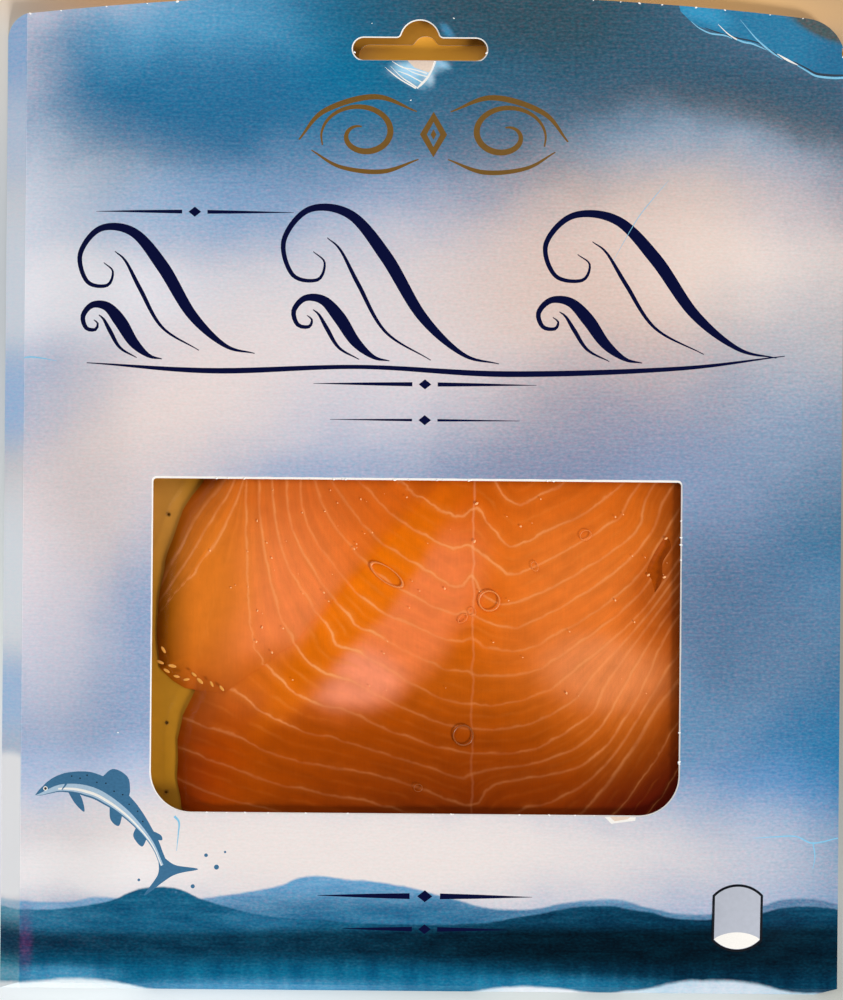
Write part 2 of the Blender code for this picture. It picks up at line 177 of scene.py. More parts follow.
def inside(points, loop):
    found = np.zeros(len(points), bool)
    for (ax, ay), (bx, by) in zip(loop, np.roll(loop, -1, axis=0)):
        if ay == by:
            continue
        spans = (ay > points[:, 1]) != (by > points[:, 1])
        found ^= spans & (points[:, 0] < ax + (points[:, 1] - ay) * (bx - ax) / (by - ay))
    return found


def to_line(points, corners):
    """How far each point is from an open line."""
    nearest = np.full(len(points), np.inf)
    corners = np.array(corners, float)
    for a, b in zip(corners[:-1], corners[1:]):
        run = b - a
        share = np.clip((points - a) @ run / max(run @ run, 1e-12), 0.0, 1.0)
        nearest = np.minimum(nearest, np.hypot(*(points - a - share[:, None] * run).T))
    return nearest


def depth_in(points, loop):
    """Distance to the loop, above 0 inside it and below 0 outside it."""
    ring = [*loop, loop[0]]
    return np.where(inside(points, np.array(loop, float)), 1.0, -1.0) * to_line(points, ring)


def grid_points(loops, step, margin, box=None):
    """Points of a staggered grid, inside the first loop, outside the others, clear of all."""
    low, high = np.min(loops[0], axis=0), np.max(loops[0], axis=0)
    if box:
        low, high = np.maximum(low, box[0]), np.minimum(high, box[1])
    columns = np.arange(low[0] + step / 2, high[0], step)
    rows = np.arange(low[1] + step / 2, high[1], step * math.sqrt(3) / 2)
    xs, ys = np.meshgrid(columns, rows)
    xs = xs + step / 2 * (np.arange(len(rows)) % 2)[:, None]
    spots = np.column_stack([xs.ravel(), ys.ravel()])
    keep = inside(spots, loops[0])
    for hole in loops[1:]:
        keep &= ~inside(spots, hole)
    for loop in loops:
        keep &= to_line(spots, [*loop, loop[0]]) > margin
    return spots[keep]


def plan_mesh(loops, inner, marks=()):
    """Triangles that fill the first loop, leave out the others, and have edges along the marks."""
    rings = [np.array(ring, float) for ring in [*loops, *marks]]
    points = np.concatenate([*rings, inner]) if len(inner) else np.concatenate(rings)
    edges, first = [], 0
    for ring in rings:
        edges += [(first + i, first + (i + 1) % len(ring)) for i in range(len(ring))]
        first += len(ring)
    spots, _, faces, *_ = delaunay_2d_cdt([Vector(p) for p in points], edges, [], 0, 1e-4)
    spots, faces = np.array([tuple(p) for p in spots]), np.array(faces)
    middles = spots[faces].mean(axis=1)
    keep = inside(middles, rings[0])
    for hole in rings[1 : len(loops)]:
        keep &= ~inside(middles, hole)
    return spots, faces[keep]


def new_piece(name, vertices, faces, materials, smooth_under=40.0):
    mesh = bpy.data.meshes.new(name)
    mesh.from_pydata((np.asarray(vertices) * MM).tolist(), [], [list(map(int, f)) for f in faces])
    for finish in materials:
        mesh.materials.append(finish)
    mesh.shade_smooth()
    mesh.set_sharp_from_angle(angle=math.radians(smooth_under))
    piece = bpy.data.objects.new(name, mesh)
    bpy.context.scene.collection.objects.link(piece)
    return piece


def slab(name, loops, inner, top, low, materials):
    """A closed solid over a plan, between two surfaces given as functions of the plan."""
    plan, faces = plan_mesh(loops, inner)
    count = len(plan)
    edges = {(a, b) for f in faces.tolist() for a, b in zip(f, f[1:] + f[:1])}
    sides = []
    for a, b in edges:
        if (b, a) not in edges:
            sides += [(a, a + count, b + count), (a, b + count, b)]
    points = np.concatenate([np.column_stack([plan, top(plan)]), np.column_stack([plan, low(plan)])])
    return new_piece(name, points, [*faces, *(faces[:, ::-1] + count), *sides], materials), plan


def waves(points, seed, size, count=5):
    """A smooth random field of about -1 to 1, whose bumps are about size across."""
    numbers = np.random.default_rng(seed)
    total = np.zeros(len(points))
    for _ in range(count):
        heading = numbers.uniform(0, 2 * math.pi)
        wave = 2 * math.pi / (size * numbers.uniform(0.7, 1.6))
        along = points[:, 0] * math.cos(heading) + points[:, 1] * math.sin(heading)
        total += np.sin(wave * along + numbers.uniform(0, 2 * math.pi))
    return total / count


def spline(controls, step):
    """Points of a smooth line through the controls."""
    c = np.array(controls, float)
    c = np.vstack([2 * c[0] - c[1], c, 2 * c[-1] - c[-2]])
    made = []
    for a, b, d, e in zip(c[:-3], c[1:-2], c[2:-1], c[3:]):
        count = max(1, math.ceil(math.dist(b[:2], d[:2]) / step))
        for t in np.arange(count) / count:
            made.append(0.5 * (2 * b + (d - a) * t + (2 * a - 5 * b + 4 * d - e) * t**2
                               + (3 * b - a - 3 * d + e) * t**3))
    return np.array([*made, c[-2]])


def stroke(controls, step=0.9):
    """Outline of a pen stroke, from controls (x, y, width)."""
    c = spline(controls, step)
    run = np.gradient(c[:, :2], axis=0)
    run /= np.hypot(*run.T)[:, None]
    side = np.column_stack([-run[:, 1], run[:, 0]]) * np.maximum(c[:, 2:], 0.06) / 2
    return np.vstack([c[:, :2] + side, (c[:, :2] - side)[::-1]])


# Materials


def srgb(colour):
    """Linear RGBA of a colour written #rrggbb."""
    parts = [int(colour[i : i + 2], 16) / 255 for i in (1, 3, 5)]
    return (*[p / 12.92 if p <= 0.04045 else ((p + 0.055) / 1.055) ** 2.4 for p in parts], 1.0)


def add(tree, kind, inputs=None, out=0, curve=None, **settings):
    """Adds a node with its settings and inputs, and gives one of its outputs."""
    made = tree.nodes.new(kind)
    for name, value in settings.items():
        setattr(made, name, value)
    for key, value in (inputs or {}).items():
        socket = made.inputs[key]
        if isinstance(value, bpy.types.NodeSocket):
            tree.links.new(value, socket)
        else:
            socket.default_value = value[:3] if socket.type == "VECTOR" else value
    if curve:
        points = made.mapping.curves[0].points
        while len(points) < len(curve):
            points.new(0.5, 0.5)
        for point, place in zip(points, curve):
            point.location = place
        made.mapping.update()
    return made.outputs[out]


def finish(name, **values):
    """A material with its shader's own values set, named for what it is made of."""
    made = bpy.data.materials.new(name)
    made.use_nodes = True
    shader = made.node_tree.nodes["Principled BSDF"]
    for socket, value in values.items():
        shader.inputs[socket.replace("_", " ")].default_value = value
    return made, made.node_tree, shader


def flat_place(tree):
    """Object coordinates in millimetres, with no height."""
    place = add(tree, "ShaderNodeTexCoord", out=3)
    return add(tree, "ShaderNodeVectorMath", {0: place, 1: (1000, 1000, 0)}, operation="MULTIPLY")


def warped(tree, place, size, reach, seed=0.0):
    """The place pushed about by soft noise."""
    shifted = add(tree, "ShaderNodeVectorMath", {0: place, 1: (seed, seed, seed)}, operation="ADD")
    noise = add(tree, "ShaderNodeTexNoise", {"Vector": shifted, "Scale": 1 / size, "Detail": 3.0}, out=1)
    middle = add(tree, "ShaderNodeVectorMath", {0: noise, 1: (0.5, 0.5, 0.5)}, operation="SUBTRACT")
    push = add(tree, "ShaderNodeVectorMath", {0: middle, 1: (reach, reach, 0)}, operation="MULTIPLY")
    return add(tree, "ShaderNodeVectorMath", {0: place, 1: push}, operation="ADD")


# Where a field of colour ends, and over what width it fades there, as shares of its half width
FIELD_EDGE, SOFT_EDGE = 0.75, 1.3


def fields(tree, place, base, patches):
    """Soft ovals over a base: x, y, half width, half height, turn, colour, strength and softness."""
    colour = base
    for x, y, across, up, turn, tint, strength, *soft in patches:
        half = soft[0] / 2 if soft else SOFT_EDGE / 2
        c, s = math.cos(math.radians(turn)), math.sin(math.radians(turn))
        middle = ((x * c + y * s) / across, (y * c - x * s) / up, 0)
        if turn:
            along = add(tree, "ShaderNodeVectorMath", {0: place, 1: (c / across, s / across, 0)}, out=1,
                        operation="DOT_PRODUCT")
            over = add(tree, "ShaderNodeVectorMath", {0: place, 1: (-s / up, c / up, 0)}, out=1,
                       operation="DOT_PRODUCT")
            spot = add(tree, "ShaderNodeCombineXYZ", {0: along, 1: over})
        else:
            spot = add(tree, "ShaderNodeVectorMath", {0: place, 1: (1 / across, 1 / up, 0)},
                       operation="MULTIPLY")
        away = add(tree, "ShaderNodeVectorMath", {0: spot, 1: middle}, out=1, operation="DISTANCE")
        share = add(tree, "ShaderNodeMapRange", {"Value": away, "From Min": FIELD_EDGE + half,
                    "From Max": FIELD_EDGE - half, "To Max": strength}, interpolation_type="SMOOTHERSTEP")
        tint = srgb(tint) if isinstance(tint, str) else (tint, tint, tint, 1.0)
        colour = add(tree, "ShaderNodeMix", {0: share, 6: colour, 7: tint}, out=2, data_type="RGBA")
    return colour


def grain(tree, place, colour, scale, amount, detail=2.0, ink=False):
    """Unevenness of brightness, or of how much ink there is. scale: bumps per mm along X and Y."""
    stretched = add(tree, "ShaderNodeVectorMath", {0: place, 1: (*scale, 1.0)}, operation="MULTIPLY")
    noise = add(tree, "ShaderNodeTexNoise", {"Vector": stretched, "Scale": 1.0, "Detail": detail})
    gain = add(tree, "ShaderNodeMapRange", {"Value": noise, "From Min": 0.25, "From Max": 0.75,
               "To Min": 1 - amount, "To Max": 1 + amount})
    if ink:
        return add(tree, "ShaderNodeGamma", {0: colour, 1: gain})
    return add(tree, "ShaderNodeVectorMath", {0: colour, "Scale": gain}, operation="SCALE")


def mottle(tree, place, colour, scale, amount):
    """Lets the red part of a colour waver most where there is little of it, as printing inks do."""
    parts = add(tree, "ShaderNodeSeparateColor", {0: colour}).node.outputs
    stretched = add(tree, "ShaderNodeVectorMath", {0: place, 1: (*scale, 1.0)}, operation="MULTIPLY")
    noise = add(tree, "ShaderNodeTexNoise", {"Vector": stretched, "Scale": 1.0, "Detail": 4.0,
                "Roughness": 0.65})
    power = add(tree, "ShaderNodeMapRange", {"Value": noise, "From Min": 0.25, "From Max": 0.75,
                "To Min": 1 - amount, "To Max": 1 + amount})
    red = add(tree, "ShaderNodeMath", {0: parts[0], 1: power}, operation="POWER")
    return add(tree, "ShaderNodeCombineColor", {0: red, 1: parts[1], 2: parts[2]})


# Offset print on white card: cloudy sky over hills and water, in soft fields of colour
SKY_BASE = "#93a6c6"
SKY = [
    # Dark weather along the top, light breaking in at the left corner
    (-10, 108, 120, 36, 8, "#08719b", 1.0),
    (-84, 115, 34, 20, 40, "#eddfe6", 0.9),
    (-72, 101, 32, 18, -15, "#11739f", 0.9),
    (76, 86, 76, 40, 0, "#33566c", 1.0),
    (66, 80, 38, 12, -8, "#4b93bd", 1.0),
    (-56, 111, 32, 16, 0, "#6aaed6", 0.6),
    (24, 118, 52, 24, 0, "#37505c", 0.95),
    (8, 88, 34, 13, 0, "#465a68", 0.35),
    (-55, 92, 38, 20, 8, "#2b6c97", 0.75, 0.8),
    # Pale cloud across the middle, warm towards the right
    (-98, 62, 46, 26, 10, "#ecebef", 0.6),
    (5, 43, 110, 25, 0, "#fbece2", 0.6),
    (-20, 24, 90, 20, 0, "#e3d8da", 0.6),
    (52, 54, 60, 36, 10, "#dbc2b7", 1.0),
    (98, 46, 58, 24, -20, "#ecdad0", 1.0),
    (90, 70, 22, 14, 0, "#a9a8b6", 0.5),
    (-56, 68, 34, 12, 0, "#6f9fca", 0.4),
    (-80, 46, 32, 14, 0, "#f2eff2", 0.6),
    # Shade beside and above the window
    (92, 28, 36, 30, 60, "#8797ab", 0.6),
    (34, 12, 46, 24, 25, "#73728b", 0.5),
    # Rain blue down the right side
    (106, -20, 36, 38, 25, "#28617d", 0.8),
    (108, -56, 54, 46, -50, "#2876a5", 0.95),
    (74, -44, 46, 14, 40, "#6c94b8", 0.95),
    (72, -28, 22, 48, 70, "#56738f", 0.65),
    (74, -24, 26, 42, 0, "#5b6f90", 0.35),
    (80, -73, 28, 14, 0, "#6494c6", 0.6),
    # Pale left side and the bright strip above the hills
    (-78, 2, 26, 62, -55, "#ffe4d0", 0.55),
    (-92, -28, 32, 20, -80, "#e8e0e6", 0.6),
    (-80, -70, 30, 13, 0, "#bacceb", 0.6),
    (-18, -85, 128, 20, 0, "#eee3de", 0.95),
    (-82, -91, 34, 8, 0, "#f6f1f0", 0.7),
]
# On the spine: blue where the sky is, dark at the water, partly print and partly painted light
SPINE_PRINT_AND_LIGHT = [
    (-98, 108, 16, 24, 0, "#9cc0ec", 0.9), (-98, 84, 16, 14, 0, "#cddcf4", 0.8),
    (-98, 48, 16, 24, 0, "#e6effc", 0.8), (-98, 22, 16, 14, 0, "#aecdf4", 0.9),
    (-98, -20, 16, 26, 0, "#f2f8ff", 0.9), (-98, -49, 16, 12, 0, "#b2d0f4", 0.9),
    (-98, -80, 16, 23.2, 0, "#fdfdff", 1.0, 0.15), (-98, -107.4, 16, 6, 0, "#0c3550", 0.9),
]
# Hill lines from left to right: x, y
FAR_HILLS = [(-100, -97.4), (-84, -97.8), (-76, -96.4), (-62, -97.4), (-48, -96.0), (-34, -93.6),
             (-25, -91.0), (-17, -91.6), (-6, -92.6), (6, -95.6), (22, -98.6), (38, -96.4), (46, -95.9),
             (56, -98.2), (66, -99.4), (80, -97.6), (90, -95.6), (100, -97.0)]
NEAR_HILLS = [(-100, -99.2), (-92, -99.9), (-76, -97.9), (-61, -93.8), (-51, -96.8), (-40, -99.9),
              (-22, -101.6), (0, -102.4), (14, -102.0), (26, -100.0), (42, -97.5), (54, -98.9),
              (64, -100.6), (78, -99.7), (90, -97.5), (100, -98.2)]
SHORE = [(-100, -105.2), (-60, -104.8), (-20, -103.8), (10, -103.2), (50, -102.9), (100, -102.3)]
DEEP = [(-100, -110.8), (-60, -111.2), (-20, -111.4), (20, -112.0), (60, -112.6), (100, -113.4)]
WATER_FOOT = [(-100, -117.6), (-94, -117.2), (-82, -116.1), (-72, -117.0), (-64, -119.0), (-50, -120.4),
              (-28, -120.4), (8, -120.0), (22, -117.4), (33, -117.8), (43, -119.2), (52, -118.2),
              (64, -115.7), (79, -115.9), (92, -118.6), (100, -118.4)]


def below(tree, x, y, points, soft):
    """1 below a line of hills or a shore, 0 above it."""
    across = add(tree, "ShaderNodeMapRange", {"Value": x, "From Min": -100.0, "From Max": 100.0})
    level = add(tree, "ShaderNodeFloatCurve", {"Value": across},
                curve=[((px + 100) / 200, (py + 125) / 50) for px, py in points])
    height = add(tree, "ShaderNodeMapRange", {"Value": level, "To Min": -125.0, "To Max": -75.0})
    drop = add(tree, "ShaderNodeMath", {0: height, 1: y}, operation="SUBTRACT")
    return add(tree, "ShaderNodeMapRange", {"Value": drop, "From Min": -soft, "From Max": soft},
               interpolation_type="SMOOTHSTEP")


def printed_card():
    made, tree, shader = finish("offset print on coated white card", Roughness=0.5, Specular_IOR_Level=0.03)
    place = flat_place(tree)
    cloud = warped(tree, warped(tree, place, 30.0, 12.0), 9.0, 5.0, 40.0)
    colour = fields(tree, cloud, srgb(SKY_BASE), SKY)
    # Torn and scuffed below the slot
    colour = fields(tree, place, colour, [
        (-1.8, 101.6, 7.0, 2.6, 8, "#bfe4fb", 0.8), (-3.6, 99.6, 5.0, 2.2, -35, "#a5dcfa", 0.7),
        (0.6, 99.6, 1.6, 2.8, 20, "#c8e8fb", 0.7), (3.8, 102.5, 2.6, 1.1, -25, "#9fd2f0", 0.7),
        (5.0, 110.4, 1.2, 2.6, 40, "#4d94bd", 0.7),
    ])
    nudged = warped(tree, place, 6.0, 0.8)
    x = add(tree, "ShaderNodeSeparateXYZ", {0: nudged})
    y = x.node.outputs[1]
    far = fields(tree, place, srgb("#7ea6c9"), [
        (-18, -93, 36, 6, 0, "#6ba0c8", 1.0), (-6, -101, 66, 7, 0, "#2f6d93", 1.0),
        (50, -100, 40, 5, 0, "#4d7a9c", 0.9), (90, -97, 30, 10, 0, "#5d7c9c", 0.9),
    ])
    near = fields(tree, place, srgb("#175b7d"), [
        (-92, -101, 18, 5, 0, "#2f7194", 0.9), (-36, -101, 12, 4, 0, "#2c6f95", 0.7),
        (64, -103, 80, 9, 0, "#04334c", 1.0),
    ])
    shore = fields(tree, place, srgb("#083850"), [
        (52, -107, 86, 30, 0, "#001724", 1.0), (-90, -106, 22, 5, 0, "#10334a", 0.8),
    ])
    deep = fields(tree, place, srgb("#084e6e"), [
        (-30, -118, 100, 7, 0, "#0e6a90", 0.8), (74, -110, 66, 13, 0, "#022a40", 1.0),
        (-36, -118.5, 40, 3, 0, "#5aa5d0", 0.6), (-86, -115.5, 16, 3, 0, "#4f9cc4", 0.7),
        (30, -117, 34, 3, 0, "#2780a8", 0.7),
    ])
    foot = fields(tree, place, srgb("#a9cfe4"), [
        (-84, -119, 26, 4, 0, "#eef4f6", 1.0), (34, -119, 26, 4, 0, "#e6ebf2", 1.0),
        (74, -118, 20, 4, 0, "#cfdae6", 0.9),
    ])
    for points, tint, soft, streak in (
        (FAR_HILLS, far, 0.4, (0.1, 0.4)), (NEAR_HILLS, near, 0.3, (0.12, 0.5)),
        (SHORE, shore, 1.7, (0.12, 0.3)), (DEEP, deep, 3.0, (0.3, 0.05)),
        (WATER_FOOT, foot, 0.6, (0.3, 0.08)),
    ):
        share = below(tree, x, y, points, soft)
        tint = grain(tree, place, tint, streak, 0.14, 4.0, ink=True)
        colour = add(tree, "ShaderNodeMix", {0: share, 6: colour, 7: tint}, out=2, data_type="RGBA")
    colour = fields(tree, place, colour, [(-93.6, -107, 2.0, 9, 0, "#6b3a78", 0.35)])
    # The spine is painted paler and bluer: painted light on its slope, which faces away from the key light
    across = add(tree, "ShaderNodeSeparateXYZ", {0: place})
    spine = add(tree, "ShaderNodeMapRange", {"Value": across, "From Min": FRONT_LEFT + 0.2,
                "From Max": FRONT_LEFT - 0.2})
    paler = fields(tree, place, add(tree, "ShaderNodeGamma", {0: colour, 1: 0.55}), SPINE_PRINT_AND_LIGHT)
    colour = add(tree, "ShaderNodeMix", {0: spine, 6: colour, 7: paler}, out=2, data_type="RGBA")
    colour = mottle(tree, place, colour, (0.9, 1.5), 0.3)
    colour = grain(tree, place, colour, (0.12, 1.8), 0.06, ink=True)
    colour = grain(tree, place, colour, (1.1, 1.9), 0.14, 4.0, ink=True)
    tree.links.new(colour, shader.inputs["Base Color"])
    return made


def bent_corner_print_lit_and_shaded():
    made, tree, shader = finish("offset print on the bent corner", Roughness=0.45, Specular_IOR_Level=0.12)
    place = flat_place(tree)
    # Partly print, partly painted light: the flap is painted a brighter blue than the panel, for the light
    # its tilt catches
    colour = fields(tree, warped(tree, place, 12.0, 3.0), srgb("#2b7aa2"), [
        (66, 115, 8, 3, -15, "#3c9cc8", 0.8), (99, 103, 10, 12, 0, "#276a92", 0.8),
    ])
    # Painted shade where the corner's tip curls down
    colour = fields(tree, place, colour, [(94.5, 112.2, 9.5, 2.6, -24, "#4d5a5c", 1.6)])
    colour = mottle(tree, place, colour, (0.9, 1.5), 0.3)
    colour = grain(tree, place, colour, (1.1, 1.9), 0.14, 4.0, ink=True)
    tree.links.new(colour, shader.inputs["Base Color"])
    return made


def plain_finish(name, colour, amount=0.05, scale=(0.8, 0.8), **values):
    """One colour with slight unevenness."""
    made, tree, shader = finish(name, **values)
    even = grain(tree, flat_place(tree), srgb(colour), scale, amount, 3.0)
    tree.links.new(even, shader.inputs["Base Color"])
    return made


# Flesh of smoked fish, salted and sliced: translucent orange with paler fat lines
FLESH_BASE = "#c25a08"
FLESH_COLOUR_AND_LIGHT = [
    # Brighter and pinkish in the middle of the slices: partly the fish's own colour, partly painted light
    (-30, -24, 36, 30, 28, "#ec7e42", 1.0),
    (14, -16, 44, 24, -10, "#de6500", 1.0),
    (40, -10, 26, 16, 0, "#e06f1c", 0.9),
    (40, -30, 24, 30, 40, "#e3742b", 0.9),
    # Painted shade: darker towards the foot, from a plain edge that stands for a reflection boundary
    (-16, -104, 110, 74, 2, "#b04a00", 1.0, 0.3),
    (44, -42, 19, 11, -8, "#e78850", 0.75, 0.9),
    (5, -98, 80, 46, 4, "#5a1500", 0.9),
    (56, -84, 60, 24, 50, "#480002", 0.95),
    # Clear orange along the upper slice's cut edge, pink beside it
    (-3, -29, 15, 33, -38, "#ee7c42", 0.9, 0.7),
    (-16, -44, 15, 9, 0, "#fb9a78", 0.6, 0.8),
    (-13, -24, 8, 46, -38, "#e87000", 0.95, 0.6),
    (-33, -43, 16, 7, 10, "#cf6200", 0.8),
    # Where the fish thins out at both ends, with painted shade along the window's top and right edges
    (-52, -24, 14, 36, -8, "#dc7816", 0.75),
    (-65, -10, 9, 60, 4, "#a55e00", 0.9),
    # Painted shade under the window's top edge
    (0, 5, 90, 18, 0, "#c4500a", 0.42),
    (-57, -68, 15, 34, -14, "#8c2800", 0.6),
    (57, -25, 11, 16, 10, "#b54d08", 0.7),
    # Painted shade along the window's right edge
    (68, -26, 14, 70, 4, "#5a1500", 0.75),
]


# How plainly the fat lines show from place to place
LINES_SEEN = [
    (0, -76, 90, 26, 0, 0.12, 0.8),
    (-40, -18, 20, 34, 0, 0.5, 1.0), (-50, -50, 20, 12, 20, 0.4, 1.0), (14, -12, 26, 26, 0, 0.62, 1.0),
    (-22, -38, 9, 30, -45, 1.0, 1.0), (44, -12, 18, 22, 0, 0.45, 1.0), (44, -45, 16, 20, 0, 0.42, 1.0),
    (-20, -66, 46, 9, -10, 0.14, 1.0), (-55, -22, 8, 20, 0, 0.62, 1.0),
]
# The fat lines: how many in a gap, half width in mm, least and most strength, colour
LINE_KINDS = ((1.0, 1.9, 0.1, 0.35, "#f08f3c"), (1.0, 0.5, 0.3, 0.75, "#ffb074"),
              (2.0, 0.7, 0.0, 0.3, "#f08f3c"))


def fish_flesh():
    made, tree, shader = finish("smoked salmon flesh", Roughness=0.42, Specular_IOR_Level=0.04)
    place = flat_place(tree)
    colour = fields(tree, warped(tree, place, 14.0, 4.0), srgb(FLESH_BASE), FLESH_COLOUR_AND_LIGHT)
    phase = add(tree, "ShaderNodeAttribute", out=2, attribute_name="phase")
    gap = add(tree, "ShaderNodeAttribute", out=2, attribute_name="gap")
    x = add(tree, "ShaderNodeSeparateXYZ", {0: place})
    # Muscle fibres run with the fat lines, and finer ones straight down across them
    across_fibres = add(tree, "ShaderNodeMath", {0: phase, 1: 2.5}, operation="MULTIPLY")
    along_fibres = add(tree, "ShaderNodeMath", {0: x, 1: 0.1}, operation="MULTIPLY")
    along = add(tree, "ShaderNodeCombineXYZ", {0: across_fibres, 1: along_fibres})
    colour = grain(tree, along, colour, (1.0, 1.0), 0.1, 2.0)
    colour = grain(tree, place, colour, (2.2, 0.16), 0.03, 2.0)
    colour = grain(tree, warped(tree, place, 4.0, 2.0), colour, (0.3, 0.3), 0.06, 3.0)
    wobble = add(tree, "ShaderNodeTexNoise", {"Vector": place, "Scale": 0.2, "Detail": 2.0})
    wander = add(tree, "ShaderNodeMapRange", {"Value": wobble, "To Min": -0.14, "To Max": 0.14})
    wandering = add(tree, "ShaderNodeMath", {0: phase, 1: wander}, operation="ADD")
    how_plain = fields(tree, place, (0.22, 0.22, 0.22, 1.0), LINES_SEEN)
    seen = add(tree, "ShaderNodeSeparateColor", {0: how_plain})
    patchy = add(tree, "ShaderNodeTexNoise", {"Vector": place, "Scale": 0.2, "Detail": 3.0})
    for repeat, width, least, most, tint in LINE_KINDS:
        turns = add(tree, "ShaderNodeMath", {0: wandering, 1: repeat, 2: 0.5}, operation="MULTIPLY_ADD")
        part = add(tree, "ShaderNodeMath", {0: turns}, operation="FRACT")
        off = add(tree, "ShaderNodeMath", {0: part, 1: 0.5}, operation="SUBTRACT")
        away = add(tree, "ShaderNodeMath", {0: off}, operation="ABSOLUTE")
        reach = add(tree, "ShaderNodeMath", {0: away, 1: gap}, operation="MULTIPLY")
        near = add(tree, "ShaderNodeMapRange", {"Value": reach, "From Min": width * repeat,
                   "From Max": 0.0}, interpolation_type="SMOOTHSTEP")
        shown = add(tree, "ShaderNodeMapRange", {"Value": patchy, "From Min": 0.35, "From Max": 0.65,
                    "To Min": least, "To Max": most})
        mixed = add(tree, "ShaderNodeMath", {0: near, 1: shown}, operation="MULTIPLY")
        share = add(tree, "ShaderNodeMath", {0: mixed, 1: seen}, operation="MULTIPLY")
        colour = add(tree, "ShaderNodeMix", {0: share, 6: colour, 7: srgb(tint)}, out=2, data_type="RGBA")
    # The pale skin between the left and right muscles
    swing = add(tree, "ShaderNodeMapRange", {"Value": wobble, "To Min": -SEAM_X - SEAM_SWING,
                "To Max": -SEAM_X + SEAM_SWING})
    aside = add(tree, "ShaderNodeMath", {0: add(tree, "ShaderNodeMath", {0: x, 1: swing}, operation="ADD")},
                operation="ABSOLUTE")
    seam = add(tree, "ShaderNodeMapRange", {"Value": aside, "From Min": 0.5, "From Max": 0.0,
               "To Max": 0.5}, interpolation_type="SMOOTHSTEP")
    seam = add(tree, "ShaderNodeMath", {0: seam, 1: seen}, operation="MULTIPLY")
    colour = add(tree, "ShaderNodeMix", {0: seam, 6: colour, 7: srgb("#ffac78")}, out=2, data_type="RGBA")
    tree.links.new(colour, shader.inputs["Base Color"])
    return made


def gold_board():
    made, tree, shader = finish("gold laminated board", Roughness=0.45, Metallic=0.25,
                                Specular_IOR_Level=0.3)
    place = flat_place(tree)
    # Painted light and shade on the strip of board beside the fish: lighter near the window's top, a little
    # darker near its foot
    colour = fields(tree, place, srgb("#c68818"), [
        (-62, -2, 8, 22, 0, "#d9953a", 0.9), (-62, -75, 8, 20, 0, "#c28412", 0.8),
    ])
    colour = grain(tree, place, colour, (0.3, 0.3), 0.06, 4.0)
    tree.links.new(colour, shader.inputs["Base Color"])
    return made


def clear_film():
    """Thin clear film: only its sheen is seen, more of it at a slant."""
    made = bpy.data.materials.new("clear packing film")
    made.use_nodes = True
    tree = made.node_tree
    tree.nodes.remove(tree.nodes["Principled BSDF"])
    facing = add(tree, "ShaderNodeLayerWeight", {"Blend": 0.5}, out=1)
    slant = add(tree, "ShaderNodeMath", {0: facing, 1: 4.0}, operation="POWER")
    glint = add(tree, "ShaderNodeMapRange", {"Value": slant, "To Min": 0.006, "To Max": 0.3})
    clear = add(tree, "ShaderNodeBsdfTransparent", {"Color": (1.0, 1.0, 1.0, 1.0)})
    sheen = add(tree, "ShaderNodeBsdfGlossy", {"Roughness": 0.12})
    mixed = add(tree, "ShaderNodeMixShader", {0: glint, 1: clear, 2: sheen})
    tree.links.new(mixed, tree.nodes["Material Output"].inputs["Surface"])
    return made


# Sleeve


def top_edge(x):
    """Y of the sleeve's upper edge: a long arc with a rounded corner at each end."""
    left_from, right_from = LEFT + LEFT_CORNER_RADIUS, RIGHT - RIGHT_CORNER_RADIUS
    level = np.clip(x, left_from, right_from)
    y = HEIGHT / 2 - TOP_ARC_RADIUS + np.sqrt(TOP_ARC_RADIUS**2 - level**2)
    past_left = np.clip(left_from - x, 0.0, LEFT_CORNER_RADIUS)
    past_right = np.clip(x - right_from, 0.0, RIGHT_CORNER_RADIUS)
    y -= LEFT_CORNER_RADIUS - np.sqrt(LEFT_CORNER_RADIUS**2 - past_left**2)
    return y - RIGHT_CORNER_RADIUS + np.sqrt(RIGHT_CORNER_RADIUS**2 - past_right**2)


def top_line(start_x, end_x):
    count = max(CORNER_POINTS, math.ceil(abs(end_x - start_x) / SLEEVE_STEP))
    # Closer together at the ends, where the corners round off
    share = 0.5 - 0.5 * np.cos(math.pi * np.arange(count) / count)
    return [(float(x), float(top_edge(x))) for x in start_x + (end_x - start_x) * share]


def front_height(plan):
    """Outer face of the front panel: level at its creases, bulging over the fish."""
    x, y = plan[:, 0], plan[:, 1]
    across = smooth(np.minimum(x - FRONT_LEFT, RIGHT - x) / BULGE_SIDE_RUN)
    from_top = smooth((BULGE_TOP_END - y) / (BULGE_TOP_END - BULGE_TOP_START))
    along = smooth((y - FRONT_FOOT) / BULGE_FOOT_RUN) * (HEADER_SHARE + (1.0 - HEADER_SHARE) * from_top)
    run = np.subtract(FLAP_END, FLAP_START)
    outwards = np.array([-run[1], run[0]]) / np.hypot(*run)
    past_crease = (plan - np.array(FLAP_START)) @ outwards
    return EDGE_HEIGHT + BULGE * across * along - FLAP_SLOPE * np.clip(past_crease, 0.0, None)


